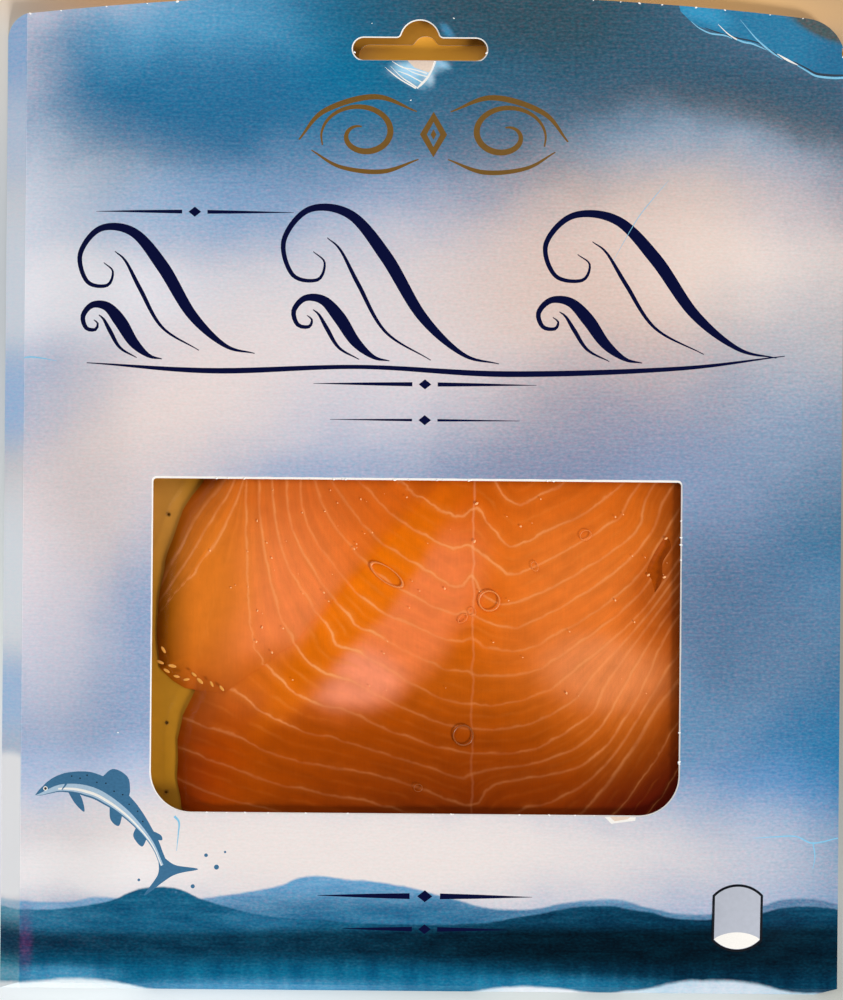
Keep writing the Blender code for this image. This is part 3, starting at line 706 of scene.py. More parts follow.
def slot_loop(shift=(0.0, 0.0), dome_radius=DOME_RADIUS, dome_rise=DOME_RISE, grow=0.0, step=0.7):
    """Hang slot, counter-clockwise from the left end of the bar's lower edge."""
    cx, cy = SLOT_CENTRE[0] + shift[0], SLOT_CENTRE[1] + shift[1]
    end_radius = SLOT_BAR / 2
    end_x = SLOT_LENGTH / 2 - end_radius
    dome_y = cy + dome_rise - dome_radius
    fillet_y = cy + end_radius + DOME_FILLET
    reach = dome_radius + DOME_FILLET
    fillet_x = math.sqrt(reach**2 - (fillet_y - dome_y) ** 2)
    turn = math.degrees(math.atan2(fillet_y - dome_y, fillet_x))
    wide, narrow = end_radius + grow, DOME_FILLET - grow
    points = arc((cx + end_x, cy), wide, -90, 90, step)
    points += arc((cx + fillet_x, fillet_y), narrow, 270, 180 + turn, step)
    points += arc((cx, dome_y), dome_radius + grow, turn, 180 - turn, step)[1:-1]
    points += arc((cx - fillet_x, fillet_y), narrow, -turn, -90, step)
    points += arc((cx - end_x, cy), wide, 90, 270, step)
    foot = cy - end_radius
    return [(x, max(y, foot - 0.05 * (grow > 0))) for x, y in points]


def window_loop(side=0.0, top=0.0, foot=0.0, ragged=0.0):
    """Window, counter-clockwise from its lower left corner, grown by these amounts."""
    left, right = WINDOW_LEFT - side, WINDOW_RIGHT + side
    high, low = WINDOW_TOP + top, WINDOW_FOOT - foot
    low_round, top_round = WINDOW_FOOT_RADIUS + side, WINDOW_TOP_RADIUS + side
    left_arc = arc((left + low_round, low + low_round), low_round, 180, 270)
    right_arc = arc((right - low_round, low + low_round), low_round, 270, 360)
    right_top = arc((right - top_round, high - top_round), top_round, 0, 90, 0.5)
    left_top = arc((left + top_round, high - top_round), top_round, 90, 180, 0.5)
    points = left_arc[:-1] + line(left_arc[-1], right_arc[0], 1.2)
    points += right_arc[:-1] + line(right_arc[-1], right_top[0], 1.2) + right_top[:-1]
    points += line(right_top[-1], left_top[0], 1.2) + left_top[:-1] + line(left_top[-1], left_arc[0], 1.2)
    points = np.array(points)
    if ragged:
        points = points + ragged * np.column_stack([waves(points, 3, 4.0), waves(points, 4, 4.0)])
    return points


def wave_crest(x, y, wide, high):
    """One breaking wave as pen strokes: a rising crest that curls over, and a thinner line inside."""
    crest = [(0, 0, 0.2), (0.16, 0.06, 1.0), (0.34, 0.3, 2.4), (0.5, 0.68, 3.0), (0.66, 0.95, 2.2),
             (0.84, 0.98, 1.5), (0.95, 0.78, 1.2), (0.91, 0.56, 1.0), (0.8, 0.53, 0.8), (0.77, 0.64, 0.5),
             (0.82, 0.71, 0.2)]
    inner = [(0.3, 0.02, 0.2), (0.5, 0.2, 0.7), (0.62, 0.5, 1.0), (0.7, 0.72, 0.6), (0.76, 0.8, 0.2)]
    return [[(x + wide * a, y + high * b, w) for a, b, w in controls] for controls in (crest, inner)]


def lozenge(x, y, wide, high):
    return [(x - wide / 2, y), (x, y - high / 2), (x + wide / 2, y), (x, y + high / 2)]


def rule(x0, x1, y, width, gap):
    """A tapered rule broken by a lozenge in the middle."""
    middle = (x0 + x1) / 2
    return [
        stroke([(x0, y, 0.1), ((x0 + middle) / 2, y, width * 0.7), (middle - gap, y, width)], 3.0),
        stroke([(middle + gap, y, width), ((x1 + middle) / 2, y, width * 0.7), (x1, y, 0.1)], 3.0),
        lozenge(middle, y, gap, gap * 0.8),
    ]


def scroll(x, y, radius, turns, flip, width):
    """A spiral stroke that ends in a small curl."""
    made = []
    for t in np.linspace(0, 1, 26):
        angle = math.radians(200 - 360 * turns * t)
        r = radius * (1 - 0.78 * t)
        made.append((x + flip * r * math.cos(angle), y + r * math.sin(angle) * 0.8,
                     width * math.sin(math.pi * (0.08 + 0.84 * t))))
    return stroke(made, 0.8)


def ink_shapes():
    """Printed motifs, marks of use, and painted light and shade on the bent corner: (material slot,
    outline), the later ones on top.
    """
    # The bent corner's flap, in its print with painted light and painted shade
    shapes = [(BENT_LIT_AND_SHADED, [
        (60.6, 115.5), (63.0, 113.2), (65.4, 111.8), (69.5, 110.6), (73.8, 108.9), (77.4, 108.3),
        (81.2, 107.3), (83.4, 105.5), (86.0, 104.2), (88.7, 103.0), (92.5, 100.8), (96.1, 100.4),
        (99.95, 100.15), (99.95, 118.0), (60.0, 118.0),
    ])]
    for flip in (-1, 1):
        shapes += [(GOLD, scroll(2 + flip * 17, 85.5, 10.0, 1.3, -flip, 1.5))]
        for brow in (
            [(4, 91, 0.3), (14, 94.5, 1.3), (26, 91, 1.2), (32, 84, 0.4)],
            [(3.5, 79.5, 0.3), (12, 76.5, 1.1), (22, 77.5, 0.9), (29, 81.5, 0.3)],
        ):
            shapes += [(GOLD, stroke([(2 + flip * x, y, width) for x, y, width in brow]))]
    for ink, wide, high in ((GOLD, 6.5, 11), (PRINT, 3.2, 6), (GOLD, 1.4, 2.6)):
        shapes += [(ink, lozenge(2, 85.5, wide, high))]
    for x, y, wide, high in ((-40, 33, -44, 30), (18, 31, -54, 37), (84, 33, -58, 34), (-62, 31.5, -20, 13),
                             (-8, 31.5, -24, 15), (52, 31.5, -26, 15)):
        shapes += [(NAVY, stroke(controls)) for controls in wave_crest(x, y, wide, high)]
    shapes += [(NAVY, stroke([(-80, 30.5, 0.2), (-50, 28.8, 1.3), (-15, 30.0, 1.0), (20, 28.6, 1.4),
                              (60, 30.2, 1.0), (86, 33.5, 0.2)], 1.5))]
    for x0, x1, y, width, gap in (
        (-78, -31, 66.5, 0.9, 3.0), (-26, 27, 26.0, 1.0, 3.0), (-22, 23, 17.5, 0.6, 3.0),
        (-24, 27, -95.5, 1.4, 3.6), (-18, 21, -103.5, 1.1, 3.0),
    ):
        shapes += [(NAVY, outline) for outline in rule(x0, x1, y, width, gap)]
    shapes += leaping_fish()
    shapes += [(BLACK, badge(0.0)), (GREY, badge(BADGE_RIM))]
    x, y = BADGE_CENTRE
    shapes += [(CORE, arc((x, y - 13.8), 10.4, 63, 117) + arc((x, y), 7.5, 223, 317))]
    return shapes + wear_marks_and_crease_shade()


def leaping_fish():
    """A salmon in mid leap, steel blue above and pale below, with drops behind its tail."""
    back = spline([(-91.5, -72.6), (-85.0, -69.6), (-77.0, -70.2), (-69.5, -75.0), (-63.5, -82.2),
                   (-60.5, -88.5)], 0.5)
    share = np.linspace(0, 1, len(back))
    run = np.gradient(back, axis=0)
    run /= np.hypot(*run.T)[:, None]
    side = np.column_stack([-run[:, 1], run[:, 0]])
    half = np.interp(share, [0, 0.03, 0.1, 0.2, 0.34, 0.48, 0.62, 0.78, 0.92, 1],
                     [0.1, 0.7, 1.5, 2.3, 3.0, 2.9, 2.3, 1.4, 0.9, 0.95])

    def at(place, out):
        """A point beside the middle line: how far along it, and how many half widths out."""
        spot = round(place * (len(back) - 1))
        return back[spot] + side[spot] * half[spot] * out

    def fin(points):
        return spline([at(place, out) for place, out in points], 0.4)

    def body(low, high):
        edges = [back + side * (half * out)[:, None] for out in (low, high)]
        return np.vstack([edges[0], edges[1][::-1]])

    tail = [at(0.96, 0.8), at(1, 1.2) + (1.8, -0.6), at(1, 3.4) + (5.2, -2.4), at(1, 0) + (2.2, -2.6),
            at(1, -3.4) + (-1.6, -6.0), at(1, -1.2) + (-0.4, -2.0), at(0.96, -0.8)]
    shapes = [(STEEL, spline(tail, 0.5))]
    for points in (
        [(0.40, 0.8), (0.43, 1.9), (0.5, 2.1), (0.56, 1.5), (0.58, 0.8)],
        [(0.8, 0.8), (0.84, 1.9), (0.87, 1.8), (0.86, 0.8)],
        [(0.2, -0.7), (0.27, -1.9), (0.36, -2.2), (0.31, -1.2), (0.27, -0.7)],
        [(0.52, -0.8), (0.58, -1.9), (0.65, -2.1), (0.62, -0.8)],
        [(0.72, -0.8), (0.76, -2.2), (0.84, -2.6), (0.82, -0.8)],
    ):
        shapes += [(STEEL, fin(points))]
    shapes += [(STEEL, body(-1.0, 1.0)), (PALE_BLUE, body(-0.86, -0.12)), (CORE, body(-0.72, -0.5)[12:-12])]
    gill = [(0.17, 0.7, 0.2), (0.2, 0.0, 0.5), (0.165, -0.75, 0.2)]
    shapes += [(STEEL, stroke([(*at(place, out), width) for place, out, width in gill], 0.4))]
    for ink, size in ((CORE, 0.55), (BLACK, 0.34)):
        shapes += [(ink, arc(at(0.075, 0.25), size, 0, 330, 0.3))]
    shapes += [(BLACK, arc(at(place, out), 0.2, 0, 300, 0.3)) for place, out in (
        (0.24, 0.6), (0.29, 0.4), (0.33, 0.7), (0.38, 0.35), (0.43, 0.6), (0.49, 0.4), (0.54, 0.65),
        (0.6, 0.4), (0.66, 0.6), (0.72, 0.35))]
    return shapes + [(STEEL, arc(centre, size, 0, 330, 0.3)) for centre, size in (
        ((-50.5, -86.2), 0.45), ((-48.0, -89.0), 0.6), ((-53.6, -93.6), 0.5), ((-66.4, -92.2), 0.35),
        ((-46.0, -85.4), 0.3), ((-57.6, -95.0), 0.3))]


BADGE_CENTRE, BADGE_RADIUS, BADGE_HALF_WIDTH, BADGE_RIM = (75.85, -100.2), 8.2, 6.05, 0.6


def badge(inset):
    """A circle cut off at both sides, grey with a dark rim, its lower part white."""
    reach = BADGE_RADIUS - inset
    side = math.degrees(math.acos((BADGE_HALF_WIDTH - inset) / reach))
    return [p for start in (0, 180) for p in arc(BADGE_CENTRE, reach, start + side, start + 180 - side)]


def wear_marks_and_crease_shade():
    """The torn edge under the slot, the rubbed crease of the bent corner with painted shade beside it, and
    smaller creases.
    """
    shapes = [
        (TORN, [(-4.4, 103.28), (2.2, 103.28), (1.5, 101.4), (0.7, 100.4), (-1.0, 101.0), (-2.6, 101.5)]),
        (CORE, [(44.0, -76.3), (45.6, -77.9), (51.3, -77.1), (51.4, -76.3)]),
        (TORN, [(45.2, -76.2), (46.4, -77.3), (49.4, -76.8), (50.2, -76.2)]),
    ]
    white = [
        [(2.3, 103.2, 0.5), (1.5, 101.1, 0.45), (0.3, 99.0, 0.5), (-1.0, 97.6, 0.6), (-2.1, 96.5, 0.1)],
        [(-8.0, 103.0, 0.1), (-5.5, 101.6, 0.3), (-2.9, 101.1, 0.25), (0.3, 100.2, 0.3)],
        [(-9.7, 101.6, 0.05), (-7.5, 99.8, 0.3), (-5.5, 98.4, 0.3), (-2.3, 96.6, 0.35)],
        [(-8.4, 101.9, 0.05), (-5.8, 99.3, 0.22), (-3.7, 97.9, 0.35), (-1.7, 96.6, 0.2)],
        [(-6.6, 100.7, 0.1), (-4.3, 99.9, 0.3), (-2.6, 99.0, 0.25), (-0.5, 97.9, 0.3)],
        [(-5.8, 101.9, 0.1), (-3.2, 100.5, 0.2), (-1.1, 99.8, 0.25), (0.9, 99.3, 0.2)],
        [(69.6, 112.5, 0.1), (70.8, 111.3, 0.18), (72.3, 110.0, 0.28), (74.1, 108.9, 0.3)],
        [(83.8, 105.6, 0.15), (86.2, 104.2, 0.5), (88.7, 103.0, 0.15)],
    ]
    pale = [
        [(63.2, 113.1, 0.1), (65.2, 111.5, 0.25), (67.9, 110.3, 0.35), (71.1, 109.9, 0.35),
           (72.9, 109.2, 0.15)],
        [(73.6, 109.1, 0.3), (75.8, 108.3, 0.42), (77.6, 108.0, 0.4), (79.4, 107.3, 0.3),
           (81.2, 106.5, 0.1)],
        [(74.9, 113.7, 0.05), (76.7, 111.5, 0.15), (79.1, 108.8, 0.35), (82.3, 106.1, 0.42),
           (85.0, 104.3, 0.1)],
        [(88.6, 102.9, 0.2), (90.9, 101.6, 0.35), (92.7, 100.6, 0.45), (94.7, 100.2, 0.5),
           (97.7, 100.0, 0.5), (99.9, 100.1, 0.5)],
        [(57.9, 74.9, 0.05), (54.3, 70.6, 0.15), (50.3, 65.3, 0.15), (44.9, 55.7, 0.05)],
        [(-97.5, 30.6, 0.1), (-94.4, 31.8, 0.35), (-91.0, 31.6, 0.3), (-87.2, 30.9, 0.1)],
        [(79.3, -81.1, 0.1), (85.0, -80.8, 0.3), (89.8, -80.8, 0.3), (93.9, -82.4, 0.4),
           (99.9, -81.2, 0.3)],
        [(93.9, -82.4, 0.3), (94.4, -85.7, 0.25), (93.9, -88.6, 0.1)],
        [(-58.1, -77.0, 0.6), (-57.0, -78.4, 0.45), (-57.1, -80.9, 0.3), (-57.5, -85.2, 0.1)],
    ]
    # Painted shade: dark lines along the bent corner's crease, on its side away from the light
    dark = [
        [(66.4, 111.7, 0.1), (69.7, 110.5, 0.3), (74.1, 109.3, 0.35), (79.4, 108.1, 0.3),
           (83.8, 105.4, 0.2)],
        [(87.6, 103.9, 0.15), (90.9, 102.2, 0.4), (93.2, 101.0, 0.55), (97.0, 100.65, 0.5),
           (99.9, 100.7, 0.4)],
    ]
    for slot, strokes in ((SHADED, dark), (RUBBED, pale), (CORE, white)):
        shapes += [(slot, stroke(controls, 0.5)) for controls in strokes]
    return shapes


def make_sleeve():
    """The folded card: its outer faces joined at the creases, then given the card's thickness."""
    front_top_left = (FRONT_LEFT, float(top_edge(FRONT_LEFT)))
    front_top_right = (RIGHT, float(top_edge(RIGHT)))
    back_top_left = (LEFT, float(top_edge(LEFT)))
    back_top_right = (BACK_RIGHT, float(top_edge(BACK_RIGHT)))
    low_left, low_right = (FRONT_LEFT, FRONT_FOOT), (RIGHT, FRONT_FOOT)
    back_low_left, back_low_right = (LEFT, FOOT), (BACK_RIGHT, FOOT)

    def turned(points, end):
        return ([*points, end])[:0:-1]

    left_up = line(low_left, front_top_left, SLEEVE_STEP)
    right_up = line(low_right, front_top_right, SLEEVE_STEP)
    front_low = line(low_left, low_right, SLEEVE_STEP)
    back_left_up = line(back_low_left, back_top_left, SLEEVE_STEP)
    back_right_up = line(back_low_right, back_top_right, SLEEVE_STEP)
    back_low = line(back_low_left, back_low_right, SLEEVE_STEP)
    front = front_low + right_up + top_line(RIGHT, FRONT_LEFT) + turned(left_up, front_top_left)
    back_top = top_line(BACK_RIGHT, FRONT_LEFT) + top_line(FRONT_LEFT, LEFT)
    back = back_low + back_right_up + back_top + turned(back_left_up, back_top_left)
    left_spine = [back_low_left] + left_up + top_line(FRONT_LEFT, LEFT)
    left_spine += turned(back_left_up, back_top_left)
    right_spine = [back_low_right] + right_up + top_line(RIGHT, BACK_RIGHT)
    right_spine += turned(back_right_up, back_top_right)
    foot = back_low + [back_low_right] + turned(front_low, low_right) + [low_left]

    window, slot = window_loop(), slot_loop()
    window_print = window_loop(*WINDOW_BARE, WINDOW_RAGGED)
    slot_print = slot_loop(grow=SLOT_BARE)
    motifs = ink_shapes()
    right_level = np.linspace(FRONT_FOOT, HEIGHT / 2, 200)
    right_height = front_height(np.array([(RIGHT, y) for y in right_level]))

    def lowered_front(p):
        """The rims of the window and the slot dip a little where the die pressed them."""
        z = front_height(p)
        for ring, cut in ((window_print, window), (slot_print, slot)):
            near = to_line(p, [*cut, cut[0]])
            z = z - RIM_DIP * np.clip(1.0 - near / RIM_DIP_RUN, 0.0, 1.0)
        from_side = np.minimum.reduce([p[:, 0] - FRONT_LEFT, RIGHT - p[:, 0], p[:, 1] - FRONT_FOOT])
        return z + CARD_WAVE * waves(p, 11, CARD_WAVE_SIZE) * smooth(from_side / CARD_WAVE_RUN)

    def right_spine_height(p):
        return np.interp(p[:, 1], right_level, right_height) * (p[:, 0] - BACK_RIGHT) / LEAN

    back_slot = slot_loop(BACK_SLOT_SHIFT, BACK_DOME_RADIUS, BACK_DOME_RISE)
    panels = [
        ([front, window, slot], lowered_front, True),
        ([left_spine], lambda p: EDGE_HEIGHT * (p[:, 0] - LEFT) / LEAN, True),
        ([foot], lambda p: EDGE_HEIGHT * (p[:, 1] - FOOT) / FOOT_RUN, True),
        ([right_spine], right_spine_height, False),
        ([back, back_slot], lambda p: np.zeros(len(p)), False),
    ]
    points, faces, slots = [], [], []
    for number, (loops, height, faces_up) in enumerate(panels):
        loops = [np.array(loop, float) for loop in loops]
        is_front = number == 0
        inner = grid_points(loops, SLEEVE_STEP, SLEEVE_STEP * 0.5) if is_front else []
        marks = [window_print, slot_print, *[outline for _, outline in motifs]] if is_front else []
        plan, made = plan_mesh(loops, inner, marks)
        middles = plan[made].mean(axis=1)
        kind = np.zeros(len(made), int)
        if is_front:
            for slot_number, outline in motifs:
                kind[inside(middles, np.array(outline))] = slot_number
            kind[inside(middles, window_print) | inside(middles, np.array(slot_print))] = CORE
        slots.append(kind)
        faces += list((made if faces_up else made[:, ::-1]) + sum(len(p) for p in points))
        points.append(np.column_stack([plan, height(plan)]))
    offset_inks = [
        plain_finish(f"{name} offset ink", colour, amount, scale, Roughness=0.5, Specular_IOR_Level=0.04)
        for name, colour, amount, scale in (
            ("navy", "#050a33", 0.03, (0.8, 0.8)), ("black", "#14161c", 0.03, (0.8, 0.8)),
            ("grey", "#b3b7c2", 0.04, (0.8, 0.8)), ("steel blue", "#3f6f92", 0.12, (1.4, 2.2)),
            ("pale blue", "#a9c2d6", 0.08, (1.4, 2.2)),
        )
    ]
    materials = [
        printed_card(),
        plain_finish("bare paper core of the card", "#f3efe8", 0.04, (3.0, 3.0), Roughness=0.8),
        plain_finish("gold hot foil", "#73500c", 0.08, Roughness=0.4, Metallic=0.4),
        *offset_inks,
        bent_corner_print_lit_and_shaded(),
        plain_finish("torn paper layer", "#e5cfbd", 0.06, (2.0, 2.0), Roughness=0.85),
        plain_finish("print rubbed pale along a crease", "#7cc0e0", 0.1, (2.0, 2.0), Roughness=0.6),
        plain_finish("print in the shade of a crease", "#1d3042", 0.06, Roughness=0.5),
        plain_finish("uncoated inner side of the card", "#b57a0c", 0.06, (0.6, 0.6), Roughness=0.75),
    ]
    piece = new_piece("card_sleeve", np.concatenate(points), faces, materials, CREASE_ANGLE)
    piece.data.polygons.foreach_set("material_index", np.concatenate(slots).astype(np.int32))
    bm = bmesh.new()
    bm.from_mesh(piece.data)
    bmesh.ops.remove_doubles(bm, verts=bm.verts, dist=MERGE_UNDER * MM)
    bm.to_mesh(piece.data)
    bm.free()
    count = len(piece.data.polygons)
    wall = piece.modifiers.new("card", "SOLIDIFY")
    wall.thickness, wall.offset = CARD * MM, -1.0
    wall.use_even_offset = wall.use_quality_normals = True
    bpy.context.view_layer.update()
    mesh = bpy.data.meshes.new_from_object(piece.evaluated_get(bpy.context.evaluated_depsgraph_get()))
    piece.modifiers.clear()
    piece.data = mesh
    # The back's inner face stays inside the spine where the left crease ends above
    places = np.empty(len(mesh.vertices) * 3)
    mesh.vertices.foreach_get("co", places)
    at = places.reshape(-1, 3) / MM
    close = (at[:, 0] < LEFT + 2.0 * CARD) & (at[:, 1] > back_top_left[1] + 0.01)
    close &= np.abs(at[:, 2] - CARD) < 0.1 * CARD
    at[close, 0] = LEFT + 2.0 * CARD
    mesh.vertices.foreach_set("co", (at * MM).ravel())
    slots = np.empty(len(mesh.polygons), np.int32)
    mesh.polygons.foreach_get("material_index", slots)
    slots[count : 2 * count] = INNER_SIDE
    slots[2 * count :] = CORE
    mesh.polygons.foreach_set("material_index", slots)
    mesh.shade_smooth()
    mesh.set_sharp_from_angle(angle=math.radians(CREASE_ANGLE))
    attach(piece, "root")
    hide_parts("sleeve")


# Fish, board and film


def board_loop(inset=0.0):
    half_x, half_y = BOARD_WIDTH / 2 - inset, BOARD_LENGTH / 2 - inset
    reach_x, reach_y = half_x - BOARD_CORNER, half_y - BOARD_CORNER
    points = []
    for turn, sx, sy in ((0, 1, 1), (90, -1, 1), (180, -1, -1), (270, 1, -1)):
        points += arc((sx * reach_x, BOARD_CENTRE_Y + sy * reach_y), BOARD_CORNER, turn, turn + 90)
    return points


def ripple(p):
    return 0.12 * np.sin(p[:, 0] / 7.0 + p[:, 1] / 13.0) * np.cos(p[:, 1] / 8.0)


def edge_rise(p, outline):
    """0 at a slice's edge to 1 some millimetres in, steepest first: fish thins towards its cut edge."""
    return 1.0 - (1.0 - np.clip(depth_in(p, outline) / EDGE_RUN, 0.0, 1.0)) ** EDGE_POWER


def main_slice_top(p):
    covered = smooth((depth_in(p, LEFT_SLICE) + COVER_LEAD) / COVER_RUN)
    full = PILE_HEIGHT - MAIN_UNDER - (1.0 - UNDER_SHARE) * PILE_HEIGHT * covered
    return SLICE_LOW + THIN_EDGE + (full - THIN_EDGE + ripple(p)) * edge_rise(p, MAIN_SLICE)


def left_slice_low(p):
    """Drapes onto the board, and onto the main slice where that lies below it."""
    over_main = smooth((depth_in(p, MAIN_SLICE) + DRAPE_LEAD) / DRAPE_RUN)
    return SLICE_LOW + (main_slice_top(p) - DRAPE_SINK - SLICE_LOW) * over_main


def left_slice_top(p):
    low = left_slice_low(p)
    full = SLICE_LOW + PILE_HEIGHT - LEFT_UNDER + ripple(p)
    return low + LEFT_EDGE + np.maximum(full - low - LEFT_EDGE, LEFT_LEAST) * edge_rise(p, LEFT_SLICE)


def phase_of(points, lines):
    """Which fat lines a point lies between: 3.25 is a quarter of the way from line 3 to line 4."""
    numbers = sorted(lines)
    lines = {k: spline(lines[k], 2.0) for k in numbers}
    away = {k: to_line(points, lines[k]) for k in numbers}
    passed = {}
    for k in numbers:
        (ax, ay), (bx, by) = lines[k][0], lines[k][-1]
        bowl = [*lines[k], (bx + 60, max(by, 60)), (bx + 60, 90), (ax - 1, 90), (ax - 1, max(ay, 60))]
        passed[k] = ~inside(points, np.array(bowl, float))
    phase = np.full(len(points), float(numbers[0]) - 1)
    gap = np.full(len(points), OUTER_GAP)
    for k, following in zip(numbers, [*numbers[1:], None]):
        here = passed[k]
        if following is None:
            phase[here] = k + away[k][here] / OUTER_GAP
            continue
        both = away[k] + away[following] + 1e-6
        phase[here] = k + (following - k) * (away[k] / both)[here]
        gap[here] = both[here] / (following - k)
    first = ~passed[numbers[0]]
    phase[first] = numbers[0] - away[numbers[0]][first] / OUTER_GAP
    return phase, gap


def uneven_grid(loops, step, coarse_margin, past_window):
    """Fine points where the window shows a piece, and coarse ones where the card hides it."""
    window = ((WINDOW_LEFT - past_window, WINDOW_FOOT - past_window),
              (WINDOW_RIGHT + past_window, WINDOW_TOP + past_window))
    fine = grid_points(loops, step, step * 0.5, window)
    coarse = grid_points(loops, COARSE_STEP, COARSE_STEP * coarse_margin)
    hidden = (coarse < window[0]).any(axis=1) | (coarse > window[1]).any(axis=1)
    return np.concatenate([fine, coarse[hidden]])


def make_slice(name, node, outline, tear, top, low, lines, flesh):
    loops = [np.array(closed_line(outline, 1.0)), *tear]
    wavy = waves(loops[0], 21, 9.0)
    loops[0] = loops[0] + OUTLINE_WAVE * np.column_stack([wavy, waves(loops[0], 22, 7.0)])
    piece, plan = slab(name, loops, uneven_grid(loops, FLESH_STEP, 0.3, 3.0), top, low, [flesh])
    phase, gap = phase_of(plan, lines)
    for attribute, values in (("phase", phase), ("gap", gap)):
        layer = piece.data.attributes.new(attribute, "FLOAT", "POINT")
        layer.data.foreach_set("value", np.tile(values, 2).astype(np.float32))
    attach(piece, "root")
    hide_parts(node)
    return piece


def close_tear(piece, loop):
    """Floor of the tear, where it ends in the fish: a shallow bowl, coloured darker than the flesh round
    it.
    """
    plan, faces = plan_mesh([loop], grid_points([loop], TEAR_STEP, TEAR_STEP / 2))
    floor = main_slice_top(plan) - TEAR_RIM - TEAR_DEPTH * smooth(depth_in(plan, loop))
    darker_tear_floor = plain_finish("darker flesh at the foot of a tear", "#a24602", 0.15, Roughness=0.5,
                              Specular_IOR_Level=0.04)
    piece.data.materials.append(darker_tear_floor)
    mesh = bmesh.new()
    mesh.from_mesh(piece.data)
    made = [mesh.verts.new((x * MM, y * MM, z * MM)) for (x, y), z in zip(plan, floor)]
    for face in faces:
        facet = mesh.faces.new([made[i] for i in face])
        facet.smooth, facet.material_index = True, 1
    mesh.to_mesh(piece.data)
    mesh.free()


def make_fish():
    flesh = fish_flesh()
    tear = [np.array(spline([*MAIN_SLICE_TEAR, MAIN_SLICE_TEAR[0]], 0.6))[:-1]]
    main = make_slice("main_fish_slice", "main_slice", MAIN_SLICE, tear, main_slice_top,
                      lambda p: np.full(len(p), SLICE_LOW), FAT_LINES, flesh)
    close_tear(main, tear[0])
    fan = {**{k: v for k, v in FAT_LINES.items() if k < 10}, **LEFT_FAN}
    make_slice("left_fish_slice", "left_slice", LEFT_SLICE, [], left_slice_top, left_slice_low, fan, flesh)


def pin_places():
    """The row of small holes that hold the board while it is filled, along its left side."""
    return [(PIN_ROW_X, y) for y in np.arange(PIN_ROW_FIRST, -90.0, -PIN_STEP)]


def make_board():
    loop = np.array(board_loop())
    holes = [np.array(arc(centre, PIN_RADIUS, 0, 330, 0.15)) for centre in pin_places()]
    piece, _ = slab("board", [loop, *holes], [], lambda p: np.full(len(p), BOARD_TOP),
                    lambda p: np.full(len(p), BOARD_LOW), [gold_board()])
    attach(piece, "root")
    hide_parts("gold_board")


def film_height(p):
    """The film lies on the board and rises over the slices, with small puckers."""
    depth = np.maximum(depth_in(p, LEFT_SLICE), depth_in(p, MAIN_SLICE))
    height = SLICE_LOW + (PILE_HEIGHT + GAP) * smooth((depth + FILM_LEAD) / FILM_RUN)
    return height + FILM_MIDDLE + PUCKER * waves(p, 31, PUCKER_SIZE, 7) * smooth(depth / PUCKER_RUN)


def make_film():
    loop = np.array(closed_line(board_loop(FILM_INSET), 6.0))
    plan, faces = plan_mesh([loop], uneven_grid([loop], FILM_STEP, 0.4, 4.0))
    piece = new_piece("film_sheet", np.column_stack([plan, film_height(plan)]), faces, [clear_film()])
    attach(piece, "root")
    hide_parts("film")


# Small things in numbers


def scatter(name, spots, sizes, turns, kind, made):
    """Copies of one small shape on given spots, each with its own size and turn, joined into one mesh.

    kind is "ring" for a thin rim or "bead" for a drop."""
    tree = bpy.data.node_groups.new(name, "GeometryNodeTree")
    for label, way, socket in (("Spots", "INPUT", "Geometry"), ("Thickness", "INPUT", "Float"),
                               ("Seed", "INPUT", "Int"), ("Copies", "OUTPUT", "Geometry")):
        tree.interface.new_socket(label, in_out=way, socket_type="NodeSocket" + socket)
    given = tree.nodes.new("NodeGroupInput").outputs
    if kind == "ring":
        circle = add(tree, "GeometryNodeCurvePrimitiveCircle", {"Resolution": 22, "Radius": MM})
        rim = add(tree, "GeometryNodeCurvePrimitiveCircle", {"Resolution": 5, "Radius": given["Thickness"]})
        shape = add(tree, "GeometryNodeCurveToMesh", {0: circle, 1: rim})
    else:
        shape = add(tree, "GeometryNodeMeshIcoSphere", {"Radius": MM, "Subdivisions": 2})
    uneven = add(tree, "FunctionNodeRandomValue", {2: 0.85, 3: 1.15, "Seed": given["Seed"]}, out=1)
    size = add(tree, "GeometryNodeInputNamedAttribute", {"Name": "size"}, data_type="FLOAT_VECTOR")
    scale = add(tree, "ShaderNodeVectorMath", {0: size, "Scale": uneven}, operation="SCALE")
    turn = add(tree, "GeometryNodeInputNamedAttribute", {"Name": "turn"}, data_type="FLOAT_VECTOR")
    copies = add(tree, "GeometryNodeInstanceOnPoints", {"Points": given["Spots"], "Instance": shape,
                 "Rotation": turn, "Scale": scale})
    real = add(tree, "GeometryNodeRealizeInstances", {0: copies})
    coloured = add(tree, "GeometryNodeSetMaterial", {"Geometry": real, "Material": made})
    tree.links.new(coloured, tree.nodes.new("NodeGroupOutput").inputs[0])

    mesh = bpy.data.meshes.new(name)
    mesh.from_pydata((np.asarray(spots) * MM).tolist(), [], [])
    for attribute, values in (("size", sizes), ("turn", [(0.0, 0.0, math.radians(t)) for t in turns])):
        layer = mesh.attributes.new(attribute, "FLOAT_VECTOR", "POINT")
        layer.data.foreach_set("vector", np.array(values, np.float32).ravel())
    piece = bpy.data.objects.new(name, mesh)
    bpy.context.scene.collection.objects.link(piece)
    modifier = piece.modifiers.new(name, "NODES")
    modifier.node_group = tree
    for item in tree.interface.items_tree:
        if item.name == "Thickness":
            modifier[item.identifier] = RIM_RADIUS * MM
        if item.name == "Seed":
            modifier[item.identifier] = SIZE_SEED
    bpy.context.view_layer.update()
    grown = bpy.data.meshes.new_from_object(piece.evaluated_get(bpy.context.evaluated_depsgraph_get()))
    piece.modifiers.clear()
    piece.data = grown
    grown.shade_smooth()
    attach(piece, "root")
    return piece


